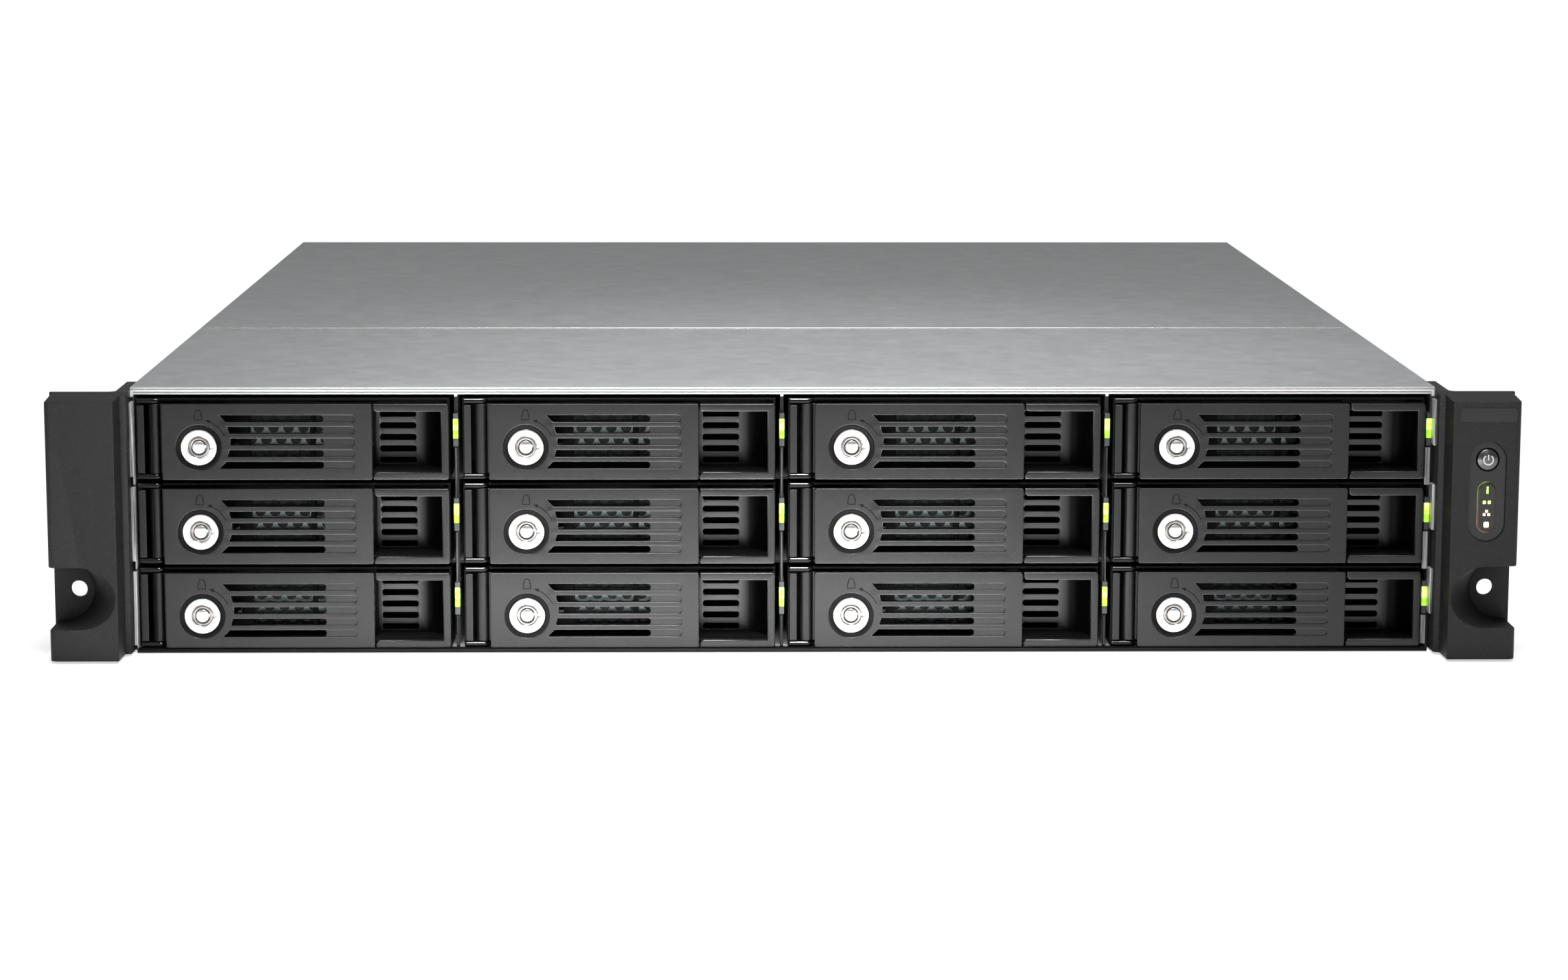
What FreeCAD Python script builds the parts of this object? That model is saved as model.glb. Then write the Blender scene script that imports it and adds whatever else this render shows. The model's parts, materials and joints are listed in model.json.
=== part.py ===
import FreeCAD, Part
import math
import os
import re
import Sketcher

# Rackmount storage server, two rack units high, twelve drive bays.
# Millimetres. X to the right seen from the front, Y to the rear, Z up.
# Origin: middle of the underside, in the plane where the rack flanges seat on the rack.

COLUMNS = 4
ROWS = 3
FANS = 3
SUPPLIES = 2
PORTS = 4
USB_STACKS = 2
MEMORY_STICKS = 4
VENTS = 14
FINS = 9
BLADES = 7
# Sides of the small round pieces that repeat, and of their pivots
ROUND_SIDES = 20
PIVOT_SIDES = 8
BORE_SIDES = 32
HEX_SIDES = 6

# Driving dimensions
SIZES = {
    # Drive bays
    "tray_width": 103.3,
    "column_gap": 4.1,
    "side_gap": 0.5,
    "strip_width": 2.0,
    "row_pitch": 28.2,
    "row_gap": 1.35,
    "slide_gap": 0.15,
    # Sheet metal
    "wall": 1.0,
    "cage_sheet": 0.6,
    "lip_sheet": 0.7,
    "lip_gap": 0.3,
    "cover_sheet": 0.6,
    "cover_gap": 0.2,
    "chassis_depth": 520.0,
    "cover_setback": 3.0,
    "front_cover_depth": 168.6,
    "seam_gap": 0.5,
    "base_lip": 1.5,
    "top_flange": 12.0,
    "cover_lip": 12.5,
    "divider": 1.0,
    "cage_setback": 3.5,
    "ledge_sheet": 0.9,
    "ledge_reach": 3.2,
    "ledge_setback": 9.0,
    # Light pipes
    "pipe_width": 1.7,
    "pipe_low": 11.2,
    "pipe_height": 10.8,
    "pipe_front": 1.0,
    "pipe_seat": 8.0,
    # Tray bezel
    "bezel_setback": 3.4,
    "bezel_depth": 13.1,
    "bezel_back": 1.5,
    "bezel_skin": 1.0,
    "cheek": 2.1,
    "cheek_setback": 2.2,
    "cheek_inset": 2.0,
    "pull_width": 23.3,
    "pull_inset": 0.2,
    "pull_bar": 2.5,
    "pull_round": 9.0,
    "window_inset": 3.5,
    "window_left": 11.5,
    "keeper_width": 8.0,
    "keeper_drop": 7.0,
    "keeper_depth": 3.0,
    # Hinge of the lever
    "hinge_offset": 6.4,
    "hinge_depth": 4.0,
    "knuckle_radius": 2.3,
    "pin_radius": 0.9,
    "pin_clearance": 0.1,
    "lug_low": 1.75,
    "lug_high": 1.6,
    "knuckle_gap": 0.2,
    # Lever
    "panel_offset": 2.5,
    "lever_gap": 1.9,
    "lever_margin": 1.6,
    "lever_thick": 3.0,
    "lever_lift": 0.3,
    "arm_length": 7.5,
    "arm_thick": 2.0,
    "hook_width": 4.0,
    "hook_reach": 6.0,
    "hook_height": 8.0,
    "hook_inset": 2.0,
    "slot_height": 2.35,
    "slot_pitch": 3.87,
    "slot_end": 53.0,
    "slot_start_middle": 10.46,
    "slot_start_second_inner": 10.1,
    "slot_start_second_outer": 9.47,
    "slot_start_last_inner": 9.0,
    "slot_start_last_outer": 6.8,
    # Lock
    "lock_offset": 12.1,
    "lock_drop": 1.8,
    "lock_radius": 6.2,
    "lock_clearance": 0.3,
    "lock_recess": 0.3,
    "lock_length": 8.7,
    "cam_length": 12.0,
    "cam_width": 5.0,
    "cam_thick": 1.5,
    # Carrier and drive
    "carrier_side": 0.8,
    "carrier_floor": 0.45,
    "carrier_height": 21.0,
    "carrier_overrun": 0.35,
    "grille_sheet": 0.6,
    "grille_margin": 3.0,
    "drive_length": 147.0,
    "drive_headroom": 0.25,
    "drive_lid": 6.0,
    "drive_lid_inset": 2.0,
    "drive_gap": 0.05,
    # Front ears and rack brackets
    "flange_reach": 25.6,
    "flange_thick": 2.0,
    "bracket_lug": 4.4,
    "bracket_run": 25.5,
    "bracket_round": 2.5,
    "bracket_low": 0.5,
    "bracket_drop": 0.2,
    "rack_hole_inset": 8.05,
    "rack_hole_z": 21.7,
    "rack_hole_radius": 2.75,
    "ear_depth": 16.5,
    "ear_inset": 0.8,
    "ear_inner": 2.4,
    "ear_step": 5.0,
    "ear_fall": 1.2,
    "ear_corner": 2.0,
    "scoop_radius": 10.25,
    "scoop_drop": 0.45,
    "scoop_turn": 30.0,
    "scoop_run": 60.0,
    # Power button and status lens
    "panel_inset": 10.7,
    "panel_low": 39.7,
    "panel_length": 33.1,
    "panel_radius": 6.1,
    "panel_recess": 1.0,
    "button_drop": 6.0,
    "button_radius": 3.6,
    "button_clearance": 0.3,
    "button_proud": 0.4,
    "button_length": 5.0,
    "button_travel": 1.2,
    "lens_lift": 3.3,
    "lens_length": 16.3,
    "lens_radius": 2.8,
    "lens_thick": 0.6,
    # Rear panel and power supplies
    "supply_width": 73.5,
    "supply_headroom": 2.8,
    "supply_length": 185.0,
    "supply_side": 6.0,
    "supply_gap": 0.2,
    "shelf_sheet": 1.0,
    "inlet_width": 27.0,
    "inlet_height": 19.5,
    "inlet_wall": 2.0,
    "inlet_depth": 14.0,
    "inlet_offset": 4.0,
    "grip_offset": 36.0,
    "grip_width": 5.0,
    "grip_reach": 20.0,
    "grip_bar": 4.0,
    "grip_margin": 5.0,
    "latch_offset": 47.0,
    "latch_height": 12.0,
    "latch_reach": 12.0,
    "latch_thick": 2.0,
    "latch_knuckle": 2.0,
    "latch_stand": 2.6,
    "latch_lug": 2.0,
    "latch_pin": 0.8,
    "vent_width": 3.0,
    "vent_height": 26.0,
    "vent_pitch": 7.0,
    "vent_lift": 37.4,
    "vent_offset": 18.0,
    "thumb_drop": 6.9,
    "thumb_radius": 5.0,
    "thumb_length": 7.0,
    "thumb_shank": 1.5,
    "thumb_clearance": 0.3,
    "thumb_x": 60.0,
    # Electronics
    "board_side": 8.0,
    "board_gap": 17.3,
    "board_depth": 212.0,
    "board_thick": 1.6,
    "board_height": 7.0,
    "board_setback": 9.0,
    "standoff_radius": 3.0,
    "standoff_inset": 12.0,
    "memory_offset": 146.0,
    "memory_pitch": 10.0,
    "memory_length": 133.0,
    "memory_height": 31.0,
    "memory_thick": 1.6,
    "socket_width": 6.5,
    "socket_height": 5.0,
    "sink_offset": 246.0,
    "sink_setback": 114.0,
    "sink_size": 84.0,
    "sink_base": 5.0,
    "sink_height": 32.0,
    "fin_thick": 2.0,
    "port_offset": 16.0,
    "port_width": 16.0,
    "port_height": 13.6,
    "port_length": 21.0,
    "port_pitch": 19.0,
    "port_wall": 2.0,
    "port_depth": 12.0,
    "port_proud": 0.8,
    "port_clearance": 0.3,
    "usb_offset": 102.0,
    "usb_width": 15.0,
    "usb_height": 16.0,
    "usb_slot": 5.2,
    # Backplane and fans
    "backplane_thick": 1.6,
    "backplane_margin": 2.0,
    "plug_width": 44.0,
    "plug_height": 6.0,
    "plug_offset": 12.0,
    "plug_gap": 0.3,
    "plug_length": 5.55,
    "fan_space": 28.4,
    "fan_headroom": 4.6,
    "fan_thick": 25.0,
    "fan_pitch": 128.0,
    "fan_rim": 2.5,
    "fan_hub": 13.0,
    "fan_tip_gap": 1.2,
    "fan_gap": 0.3,
    "stator_thick": 4.0,
    "strut_width": 4.0,
    "shaft_radius": 1.5,
    "shaft_clearance": 0.15,
    "blade_thick": 1.4,
    "blade_chord": 20.0,
    "blade_tilt": 38.0,
    "fan_wall_sheet": 1.0,
    "fan_wall_margin": 3.0,
}

# Places worked out from the driving dimensions
INNER = f"((side_gap + {COLUMNS} * tray_width + {COLUMNS - 1} * column_gap + strip_width) / 2)"
OUTER = f"({INNER} + wall)"
CAGE_LOW = f"(wall + {ROWS} * row_pitch)"
CAGE_TOP = f"({CAGE_LOW} + cage_sheet)"
LIP_LOW = f"({CAGE_TOP} + lip_gap)"
LIP_TOP = f"({LIP_LOW} + lip_sheet)"
COVER_LOW = f"({LIP_TOP} + cover_gap)"
COVER_TOP = f"({COVER_LOW} + cover_sheet)"
REAR = "(cover_setback + chassis_depth)"
SEAM = "(cover_setback + front_cover_depth)"

PITCH_X = "(tray_width + column_gap)"
TRAY_LEFT = f"(side_gap - {INNER})"
TRAY_RIGHT = f"({TRAY_LEFT} + tray_width)"
TRAY_LOW = "(wall + slide_gap)"
TRAY_TOP = f"({TRAY_LOW} + row_pitch - row_gap)"
BEZEL_REAR = "(bezel_setback + bezel_depth)"
BEZEL_FLOOR = f"({BEZEL_REAR} - bezel_back)"
DRIVE_FRONT = f"({BEZEL_REAR} + grille_sheet + drive_gap)"
DRIVE_REAR = f"({DRIVE_FRONT} + drive_length)"
CARRIER_REAR = f"({DRIVE_REAR} + carrier_overrun)"
PLUG_FRONT = f"({DRIVE_REAR} + plug_gap)"
CAGE_REAR = f"({PLUG_FRONT} + plug_length)"
LEVER_LOW = "(wall + lever_lift)"
LEVER_TOP = f"({TRAY_TOP} - lever_margin)"
LEVER_MID = f"(({LEVER_LOW} + {LEVER_TOP}) / 2)"
HINGE_X = f"({TRAY_LEFT} + hinge_offset)"
LUG_LOW_TOP = f"({TRAY_LOW} + lug_low)"
LUG_HIGH_LOW = f"({TRAY_TOP} - lug_high)"
PULL_RIGHT = f"({TRAY_RIGHT} - pull_inset)"
PULL_LEFT = f"({PULL_RIGHT} - pull_width)"
PANEL_LEFT = f"({HINGE_X} + panel_offset)"
PANEL_RIGHT = f"({PULL_LEFT} - lever_gap)"
LOCK_X = f"({PANEL_LEFT} + lock_offset)"
LOCK_Z = f"({LEVER_MID} - lock_drop)"
LOCK_REAR = "(lock_recess + lock_length)"

EAR_BACK = "(-flange_thick)"
EAR_FRONT = "(-flange_thick - ear_depth)"
EAR_SIDE = f"({OUTER} + ear_inner)"
RACK_HALF = f"({OUTER} + flange_reach)"
RACK_HOLE_X = f"({RACK_HALF} - rack_hole_inset)"
EAR_OUTSIDE = f"({RACK_HALF} - ear_inset)"
EAR_TOP = f"({LIP_TOP} - bracket_drop)"
EAR_FRONT_TOP = f"({EAR_TOP} - ear_fall)"
SCOOP_Z = "(rack_hole_z - scoop_drop)"
PANEL_X = f"({EAR_OUTSIDE} - panel_inset)"
PANEL_HIGH = "(panel_low + panel_length)"
BUTTON_Z = f"({PANEL_HIGH} - button_drop)"
LENS_LOW = "(panel_low + lens_lift)"
LENS_HIGH = f"({LENS_LOW} + lens_length)"
PANEL_FLOOR = f"({EAR_FRONT} + panel_recess)"

SUPPLY_RIGHT = f"({INNER} - supply_side)"
SUPPLY_LEFT = f"({SUPPLY_RIGHT} - supply_width)"
SUPPLY_FRONT = f"({REAR} - supply_length)"
SUPPLY_ROOM = f"({CAGE_LOW} - wall - supply_headroom - supply_gap * 4 - shelf_sheet)"
SUPPLY_HEIGHT = f"({SUPPLY_ROOM} / 2)"
SUPPLY_PITCH = f"({SUPPLY_HEIGHT} + supply_gap * 2 + shelf_sheet)"
SHELF_LEFT = f"({SUPPLY_LEFT} - supply_gap - shelf_sheet)"

BOARD_LOW = "(wall + board_height)"
BOARD_TOP = f"({BOARD_LOW} + board_thick)"
BOARD_REAR = f"({REAR} - board_setback)"
BOARD_LEFT = f"(board_side - {INNER})"
BOARD_RIGHT = f"({SHELF_LEFT} - board_gap)"
SINK_X = f"({BOARD_LEFT} + sink_offset)"
SINK_Y = f"({BOARD_REAR} - sink_setback)"
PORT_REAR = f"({REAR} + port_proud)"
FAN_LOW = "wall"
FAN_SIZE = f"({CAGE_LOW} - {FAN_LOW} - fan_headroom)"
FAN_BORE = f"({FAN_SIZE} / 2 - fan_rim)"
FAN_Z = f"({FAN_LOW} + {FAN_SIZE} / 2)"
FAN_FRONT = f"({CAGE_REAR} + backplane_thick + fan_space)"
FAN_REAR = f"({FAN_FRONT} + fan_thick)"
STATOR_FRONT = f"({FAN_REAR} - stator_thick)"
THUMB_Z = f"({COVER_LOW} - thumb_drop)"

doc = FreeCAD.newDocument("storage_server")
dims = doc.addObject("Spreadsheet::Sheet", "dims")
for line, (alias, value) in enumerate(SIZES.items(), start=1):
    dims.set(f"A{line}", alias)
    dims.set(f"B{line}", str(value))
    dims.setAlias(f"B{line}", alias)
doc.recompute()

ALIAS = re.compile(r"\b[a-z][a-z_]*[a-z]\b")
ALONG_Y = FreeCAD.Rotation(FreeCAD.Vector(0, 0, 1), FreeCAD.Vector(0, 1, 0))
nodes = []


# Helpers

def expression(text):
    """Write the sheet's name before each of its aliases."""
    def with_sheet(found):
        word = found.group()
        return f"dims.{word}" if word in SIZES else word

    return ALIAS.sub(with_sheet, str(text))


def size(text):
    return float(dims.evalExpression(expression(text)))


def bind(item, prop, text):
    item.setExpression(prop, expression(text))


def place(item, x="0", y="0", z="0"):
    for axis, text in (("x", x), ("y", y), ("z", z)):
        if text != "0":
            bind(item, f"Placement.Base.{axis}", text)


def box(name, x, y, z):
    """Block between a low and a high value on each axis."""
    block = doc.addObject("Part::Box", name)
    for prop, (low, high) in (("Length", x), ("Width", y), ("Height", z)):
        bind(block, prop, f"({high}) - ({low})")
    place(block, x[0], y[0], z[0])
    return block


def post(name, x, y, z, radius):
    """Upright cylinder."""
    cylinder = doc.addObject("Part::Cylinder", name)
    bind(cylinder, "Radius", radius)
    bind(cylinder, "Height", f"({z[1]}) - ({z[0]})")
    place(cylinder, x, y, z[0])
    return cylinder


def barrel(name, x, y, z, radius):
    """Cylinder along Y."""
    cylinder = doc.addObject("Part::Cylinder", name)
    cylinder.Placement = FreeCAD.Placement(FreeCAD.Vector(), ALONG_Y)
    bind(cylinder, "Radius", radius)
    bind(cylinder, "Height", f"({y[1]}) - ({y[0]})")
    place(cylinder, x, y[0], z)
    return cylinder


def prism(name, x, y, z, radius, sides):
    """Many-sided upright post."""
    bar = doc.addObject("Part::Prism", name)
    bar.Polygon = sides
    bind(bar, "Circumradius", radius)
    bind(bar, "Height", f"({z[1]}) - ({z[0]})")
    place(bar, x, y, z[0])
    return bar


def spindle(name, x, y, z, radius, sides):
    """Many-sided bar along Y."""
    bar = doc.addObject("Part::Prism", name)
    bar.Polygon = sides
    bar.Placement = FreeCAD.Placement(FreeCAD.Vector(), ALONG_Y)
    bind(bar, "Circumradius", radius)
    bind(bar, "Height", f"({y[1]}) - ({y[0]})")
    place(bar, x, y[0], z)
    return bar


def fuse(name, *pieces):
    joined = doc.addObject("Part::MultiFuse", name)
    joined.Shapes = list(pieces)
    joined.Refine = True
    return joined


def cut(name, base, *tools):
    result = doc.addObject("Part::Cut", name)
    result.Base = base
    result.Tool = tools[0] if len(tools) == 1 else fuse(f"{name}_tools", *tools)
    result.Refine = True
    return result


def group(name, *pieces):
    bundle = doc.addObject("Part::Compound", name)
    bundle.Links = list(pieces)
    return bundle


def node(label, item):
    item.Label = label
    nodes.append(item)
    return item


def pill(name, x, y, z, radius):
    """Upright rounded bar seen from the front."""
    low = f"({z[0]}) + {radius}"
    high = f"({z[1]}) - {radius}"
    middle = box(f"{name}_middle", (f"{x} - {radius}", f"{x} + {radius}"), y, (low, high))
    ends = [barrel(f"{name}_{end}", x, y, at, radius) for end, at in (("low", low), ("high", high))]
    return fuse(name, middle, *ends)


def sketch_on(body, role, offset="0"):
    sketch = body.newObject("Sketcher::SketchObject", f"{body.Name}_sketch")
    plane = next(item for item in body.Origin.OriginFeatures if item.Role == role)
    sketch.AttachmentSupport = [(plane, "")]
    sketch.MapMode = "FlatFace"
    bind(sketch, "AttachmentOffset.Base.z", offset)
    return sketch


def fix_point(sketch, geometry, corner, point):
    for kind, text in zip(("DistanceX", "DistanceY"), point):
        index = sketch.addConstraint(Sketcher.Constraint(kind, -1, 1, geometry, corner, size(text)))
        sketch.setExpression(f"Constraints[{index}]", expression(text))


def outline(sketch, points):
    """Closed straight-sided outline through the given points."""
    first = sketch.GeometryCount
    count = len(points)
    corners = [FreeCAD.Vector(size(x), size(y), 0) for x, y in points]
    for i in range(count):
        sketch.addGeometry(Part.LineSegment(corners[i], corners[(i + 1) % count]), False)
    for i in range(count):
        sketch.addConstraint(Sketcher.Constraint("Coincident", first + i, 2, first + (i + 1) % count, 1))
    for i, point in enumerate(points):
        fix_point(sketch, first + i, 1, point)


def rectangle(sketch, x, y):
    outline(sketch, [(x[0], y[0]), (x[1], y[0]), (x[1], y[1]), (x[0], y[1])])


def ring(sketch, x, y, radius, sides):
    """Many-sided round outline."""
    points = []
    for i in range(sides):
        angle = 2 * math.pi * i / sides
        across = f"{x} + {math.cos(angle):.6f} * ({radius})"
        up = f"{y} + {math.sin(angle):.6f} * ({radius})"
        points.append((across, up))
    outline(sketch, points)


def pad(body, sketch, length):
    feature = body.newObject("PartDesign::Pad", f"{body.Name}_pad")
    feature.Profile = sketch
    bind(feature, "Length", length)
    return feature


def section(name, role, span, *outlines):
    """Body of one constant section along the normal of an origin plane."""
    body = doc.addObject("PartDesign::Body", name)
    start = f"-({span[1]})" if role == "XZ_Plane" else span[0]
    sketch = sketch_on(body, role, start)
    for points in outlines:
        outline(sketch, points)
    pad(body, sketch, f"({span[1]}) - ({span[0]})")
    return body


def round_upright_edges(body, spots, radius):
    """Round the upright edges that stand at the given plan positions."""
    doc.recompute()
    base = body.Tip
    wanted = [FreeCAD.Vector(size(x), size(y), 0) for x, y in spots]
    names = []
    for number, edge in enumerate(base.Shape.Edges, start=1):
        middle = edge.BoundBox.Center
        upright = edge.BoundBox.ZLength > edge.BoundBox.XLength + edge.BoundBox.YLength
        at_spot = any(FreeCAD.Vector(middle.x, middle.y, 0).isEqual(spot, 1e-4) for spot in wanted)
        if upright and at_spot:
            names.append(f"Edge{number}")
    rounding = body.newObject("PartDesign::Fillet", f"{body.Name}_round")
    rounding.Base = (base, names)
    bind(rounding, "Radius", radius)
    return body


def column_x(column):
    return f"({column} * {PITCH_X})"


def row_z(row):
    """Height of a row above the lowest one."""
    return f"({row} * row_pitch)"


# Chassis tub with the power supply bay

def make_chassis():
    left = f"-{INNER}"
    inside = f"({INNER} - top_flange)"
    run = ("cover_setback", REAR)
    sheets = [
        box("tub_floor", (f"-{OUTER}", OUTER), run, ("0", "wall")),
        box("front_floor", (left, INNER), ("-base_lip", "cover_setback"), ("0", "wall")),
        box("left_wall", (f"-{OUTER}", left), run, ("wall", LIP_TOP)),
        box("right_wall", (INNER, OUTER), run, ("wall", LIP_TOP)),
        box("left_flange", (left, f"-{inside}"), run, (LIP_LOW, LIP_TOP)),
        box("right_flange", (inside, INNER), run, (LIP_LOW, LIP_TOP))]
    lip_depth = ("cover_setback", "cover_setback + top_flange")
    sheets.append(box("front_lip", (f"-{inside}", inside), lip_depth, (LIP_LOW, LIP_TOP)))
    shelf_low = f"(wall + supply_gap * 2 + {SUPPLY_HEIGHT})"
    shelf_start = f"({SHELF_LEFT} + shelf_sheet)"
    bay = (SUPPLY_FRONT, f"{REAR} - wall")
    sheets.append(box("supply_side_wall", (SHELF_LEFT, shelf_start), bay, ("wall", CAGE_LOW)))
    sheets.append(box("supply_shelf", (shelf_start, INNER), bay, (shelf_low, f"{shelf_low} + shelf_sheet")))
    node("chassis_base", group("chassis", *sheets))


def make_covers():
    sides = (f"-{OUTER}", OUTER)
    node("front_top_cover", box("front_cover", sides, ("cover_setback", SEAM), (COVER_LOW, COVER_TOP)))
    depth = (f"{SEAM} + seam_gap", f"{REAR} + cover_sheet")
    sheet = box("rear_sheet", sides, depth, (COVER_LOW, COVER_TOP))
    rear_lip = box(
        "rear_lip", (f"-{INNER}", f"{SHELF_LEFT} - wall"), (REAR, f"{REAR} + cover_sheet"),
        (f"{COVER_TOP} - cover_lip", COVER_TOP))
    through = (f"{REAR} - 1", f"{REAR} + cover_sheet + 1")
    holes = [spindle(f"lip_hole_{i}", x, through, THUMB_Z, "thumb_shank", PIVOT_SIDES)
             for i, x in enumerate(thumb_places())]
    node("rear_top_cover", cut("rear_cover", fuse("rear_cover_sheet", sheet, rear_lip), *holes))


def thumb_places():
    return (f"-{INNER} + wall + thumb_x / 2", "thumb_x")


def make_thumbscrews():
    screws = []
    for i, x in enumerate(thumb_places()):
        face = f"({REAR} + cover_sheet)"
        head = spindle(
            f"thumb_head_{i}", x, (face, f"{face} + thumb_length"), THUMB_Z, "thumb_radius", ROUND_SIDES)
        shank = spindle(
            f"thumb_shank_{i}", x, (f"{REAR} - wall * 3", face), THUMB_Z, "thumb_shank", PIVOT_SIDES)
        screws.append(fuse(f"thumbscrew_{i}", head, shank))
    node("cover_screws", group("thumbscrews", *screws))


# Drive cage with dividers and guide ledges

def divider_x(number):
    return f"({TRAY_RIGHT} + column_gap / 2 + {column_x(number)})"


def make_divider(number):
    """Upright sheet between two columns, notched at its front edge for the light pipes."""
    seat = "(cage_setback + pipe_seat)"
    points = [("cage_setback", "wall")]
    for row in range(ROWS):
        low = f"(wall + {row_z(row)} + pipe_low)"
        high = f"({low} + pipe_height)"
        points += [("cage_setback", low), (seat, low), (seat, high), ("cage_setback", high)]
    points += [("cage_setback", CAGE_LOW), (CAGE_REAR, CAGE_LOW), (CAGE_REAR, "wall")]
    middle = divider_x(number)
    span = (f"{middle} - divider / 2", f"{middle} + divider / 2")
    return section(f"divider_{number}", "YZ_Plane", span, points)


def make_cage():
    sheets = [box("cage_top", (f"-{INNER}", INNER), ("cage_setback", CAGE_REAR), (CAGE_LOW, CAGE_TOP))]
    sheets += [make_divider(number) for number in range(COLUMNS - 1)]
    run = ("ledge_setback", CAGE_REAR)
    reach = "(column_gap / 2 + ledge_reach)"
    last_right = f"({TRAY_RIGHT} + {column_x(COLUMNS - 1)})"
    for row in range(1, ROWS):
        level = (f"wall + {row_z(row)} - ledge_sheet", f"wall + {row_z(row)}")
        spans = [(f"-{INNER}", f"{TRAY_LEFT} + ledge_reach"), (f"{last_right} - ledge_reach", INNER)]
        for number in range(COLUMNS - 1):
            middle = divider_x(number)
            spans.append((f"{middle} - {reach}", f"{middle} - divider / 2"))
            spans.append((f"{middle} + divider / 2", f"{middle} + {reach}"))
        sheets += [box(f"ledge_{row}_{i}", span, run, level) for i, span in enumerate(spans)]
    node("drive_cage", group("cage", *sheets))


def make_light_pipes():
    pipes = []
    for column in range(COLUMNS):
        at_wall = column == COLUMNS - 1
        left = f"({INNER} - pipe_width)" if at_wall else f"({divider_x(column)} - pipe_width / 2)"
        for row in range(ROWS):
            low = f"(wall + {row_z(row)} + pipe_low)"
            pipes.append(box(
                f"pipe_{column}_{row}", (left, f"{left} + pipe_width"),
                ("pipe_front", "cage_setback + pipe_seat"), (low, f"{low} + pipe_height")))
    node("light_pipes", group("pipes", *pipes))


# Drive tray of the lowest row and the leftmost column

def make_bezel():
    shell = box("bezel_block", (TRAY_LEFT, TRAY_RIGHT), ("bezel_setback", BEZEL_REAR), (TRAY_LOW, TRAY_TOP))
    inside = (f"{TRAY_LOW} + bezel_skin", f"{TRAY_TOP} - bezel_skin")
    cavity = box("bezel_cavity", (f"{TRAY_LEFT} + cheek", PULL_LEFT), ("-1", BEZEL_FLOOR), inside)
    hollow = cut("bezel_hollow", shell, cavity)

    pull = box("pull_frame", (PULL_LEFT, PULL_RIGHT), ("0", "bezel_setback + 1"), (LEVER_LOW, LEVER_TOP))
    cheek_plate = box(
        "hinge_cheek", (f"{TRAY_LEFT} + side_gap / 2", f"{TRAY_LEFT} + cheek"),
        ("cheek_setback", "bezel_setback + 1"),
        (f"{TRAY_LOW} + cheek_inset", f"{TRAY_TOP} - cheek_inset - bezel_skin"))
    lugs = []
    for name, level in (("low", (TRAY_LOW, LUG_LOW_TOP)), ("high", (LUG_HIGH_LOW, TRAY_TOP))):
        depth = ("hinge_depth - knuckle_radius", "hinge_depth + knuckle_radius")
        lugs.append(box(f"lug_arm_{name}", (f"{TRAY_LEFT} + side_gap / 2", HINGE_X), depth, level))
        lugs.append(prism(f"lug_end_{name}", HINGE_X, "hinge_depth", level, "knuckle_radius", PIVOT_SIDES))
    keeper = box(
        "lock_keeper", (f"{LOCK_X} - keeper_width / 2", f"{LOCK_X} + keeper_width / 2"),
        (f"{LOCK_REAR} - lock_clearance - keeper_depth", f"{LOCK_REAR} - lock_clearance"),
        (f"{TRAY_TOP} - bezel_skin - keeper_drop", TRAY_TOP))
    whole = fuse("bezel_whole", hollow, pull, cheek_plate, keeper, *lugs)

    right = f"({PULL_RIGHT} - pull_bar)"
    start = f"{PULL_LEFT} - 1"
    level = (f"{LEVER_LOW} + pull_bar", f"{LEVER_TOP} - pull_bar")
    recess = fuse(
        "finger_recess",
        box("recess_deep", (start, f"{right} - pull_round"), ("-1", BEZEL_FLOOR), level),
        box("recess_wide", (start, right), ("-1", f"{BEZEL_FLOOR} - pull_round"), level),
        post("recess_round", f"{right} - pull_round", f"{BEZEL_FLOOR} - pull_round", level, "pull_round"))
    window = box(
        "bezel_window", (f"{TRAY_LEFT} + window_left", f"{PULL_LEFT} - window_left"),
        (f"{BEZEL_FLOOR} - 1", f"{BEZEL_REAR} + 1"),
        (f"{TRAY_LOW} + bezel_skin + window_inset", f"{TRAY_TOP} - bezel_skin - window_inset"))
    return cut("bezel", whole, recess, window)


def make_carrier():
    floor = f"({TRAY_LOW} + carrier_floor)"
    top = f"({TRAY_LOW} + carrier_height)"
    left = f"({TRAY_LEFT} + carrier_side)"
    right = f"({TRAY_RIGHT} - carrier_side)"
    span = (BEZEL_REAR, CARRIER_REAR)
    sled = section(
        "sled", "XZ_Plane", span,
        [(TRAY_LEFT, TRAY_LOW), (TRAY_RIGHT, TRAY_LOW), (TRAY_RIGHT, top), (right, top), (right, floor),
         (left, floor), (left, top), (TRAY_LEFT, top)])
    opening = box(
        "sled_opening", (f"{left} + ledge_reach * 4", f"{right} - ledge_reach * 4"),
        (f"({BEZEL_REAR} * 3 + {CARRIER_REAR}) / 4", f"({BEZEL_REAR} + {CARRIER_REAR} * 3) / 4"),
        ("0", f"{floor} + 1"))
    return cut("carrier", sled, opening)


def make_drive():
    left = f"({TRAY_LEFT} + carrier_side + drive_gap)"
    right = f"({TRAY_RIGHT} - carrier_side - drive_gap)"
    low = f"({TRAY_LOW} + carrier_floor + drive_gap)"
    top = f"({TRAY_TOP} - drive_headroom)"
    lid_low = f"({top} - drive_lid)"
    casting = box("drive_casting", (left, right), (DRIVE_FRONT, DRIVE_REAR), (low, lid_low))
    lid = box(
        "drive_lid_plate", (f"{left} + drive_lid_inset", f"{right} - drive_lid_inset"),
        (f"{DRIVE_FRONT} + drive_lid_inset", f"{DRIVE_REAR} - drive_lid_inset"), (lid_low, top))
    return fuse("drive", casting, lid)


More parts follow.
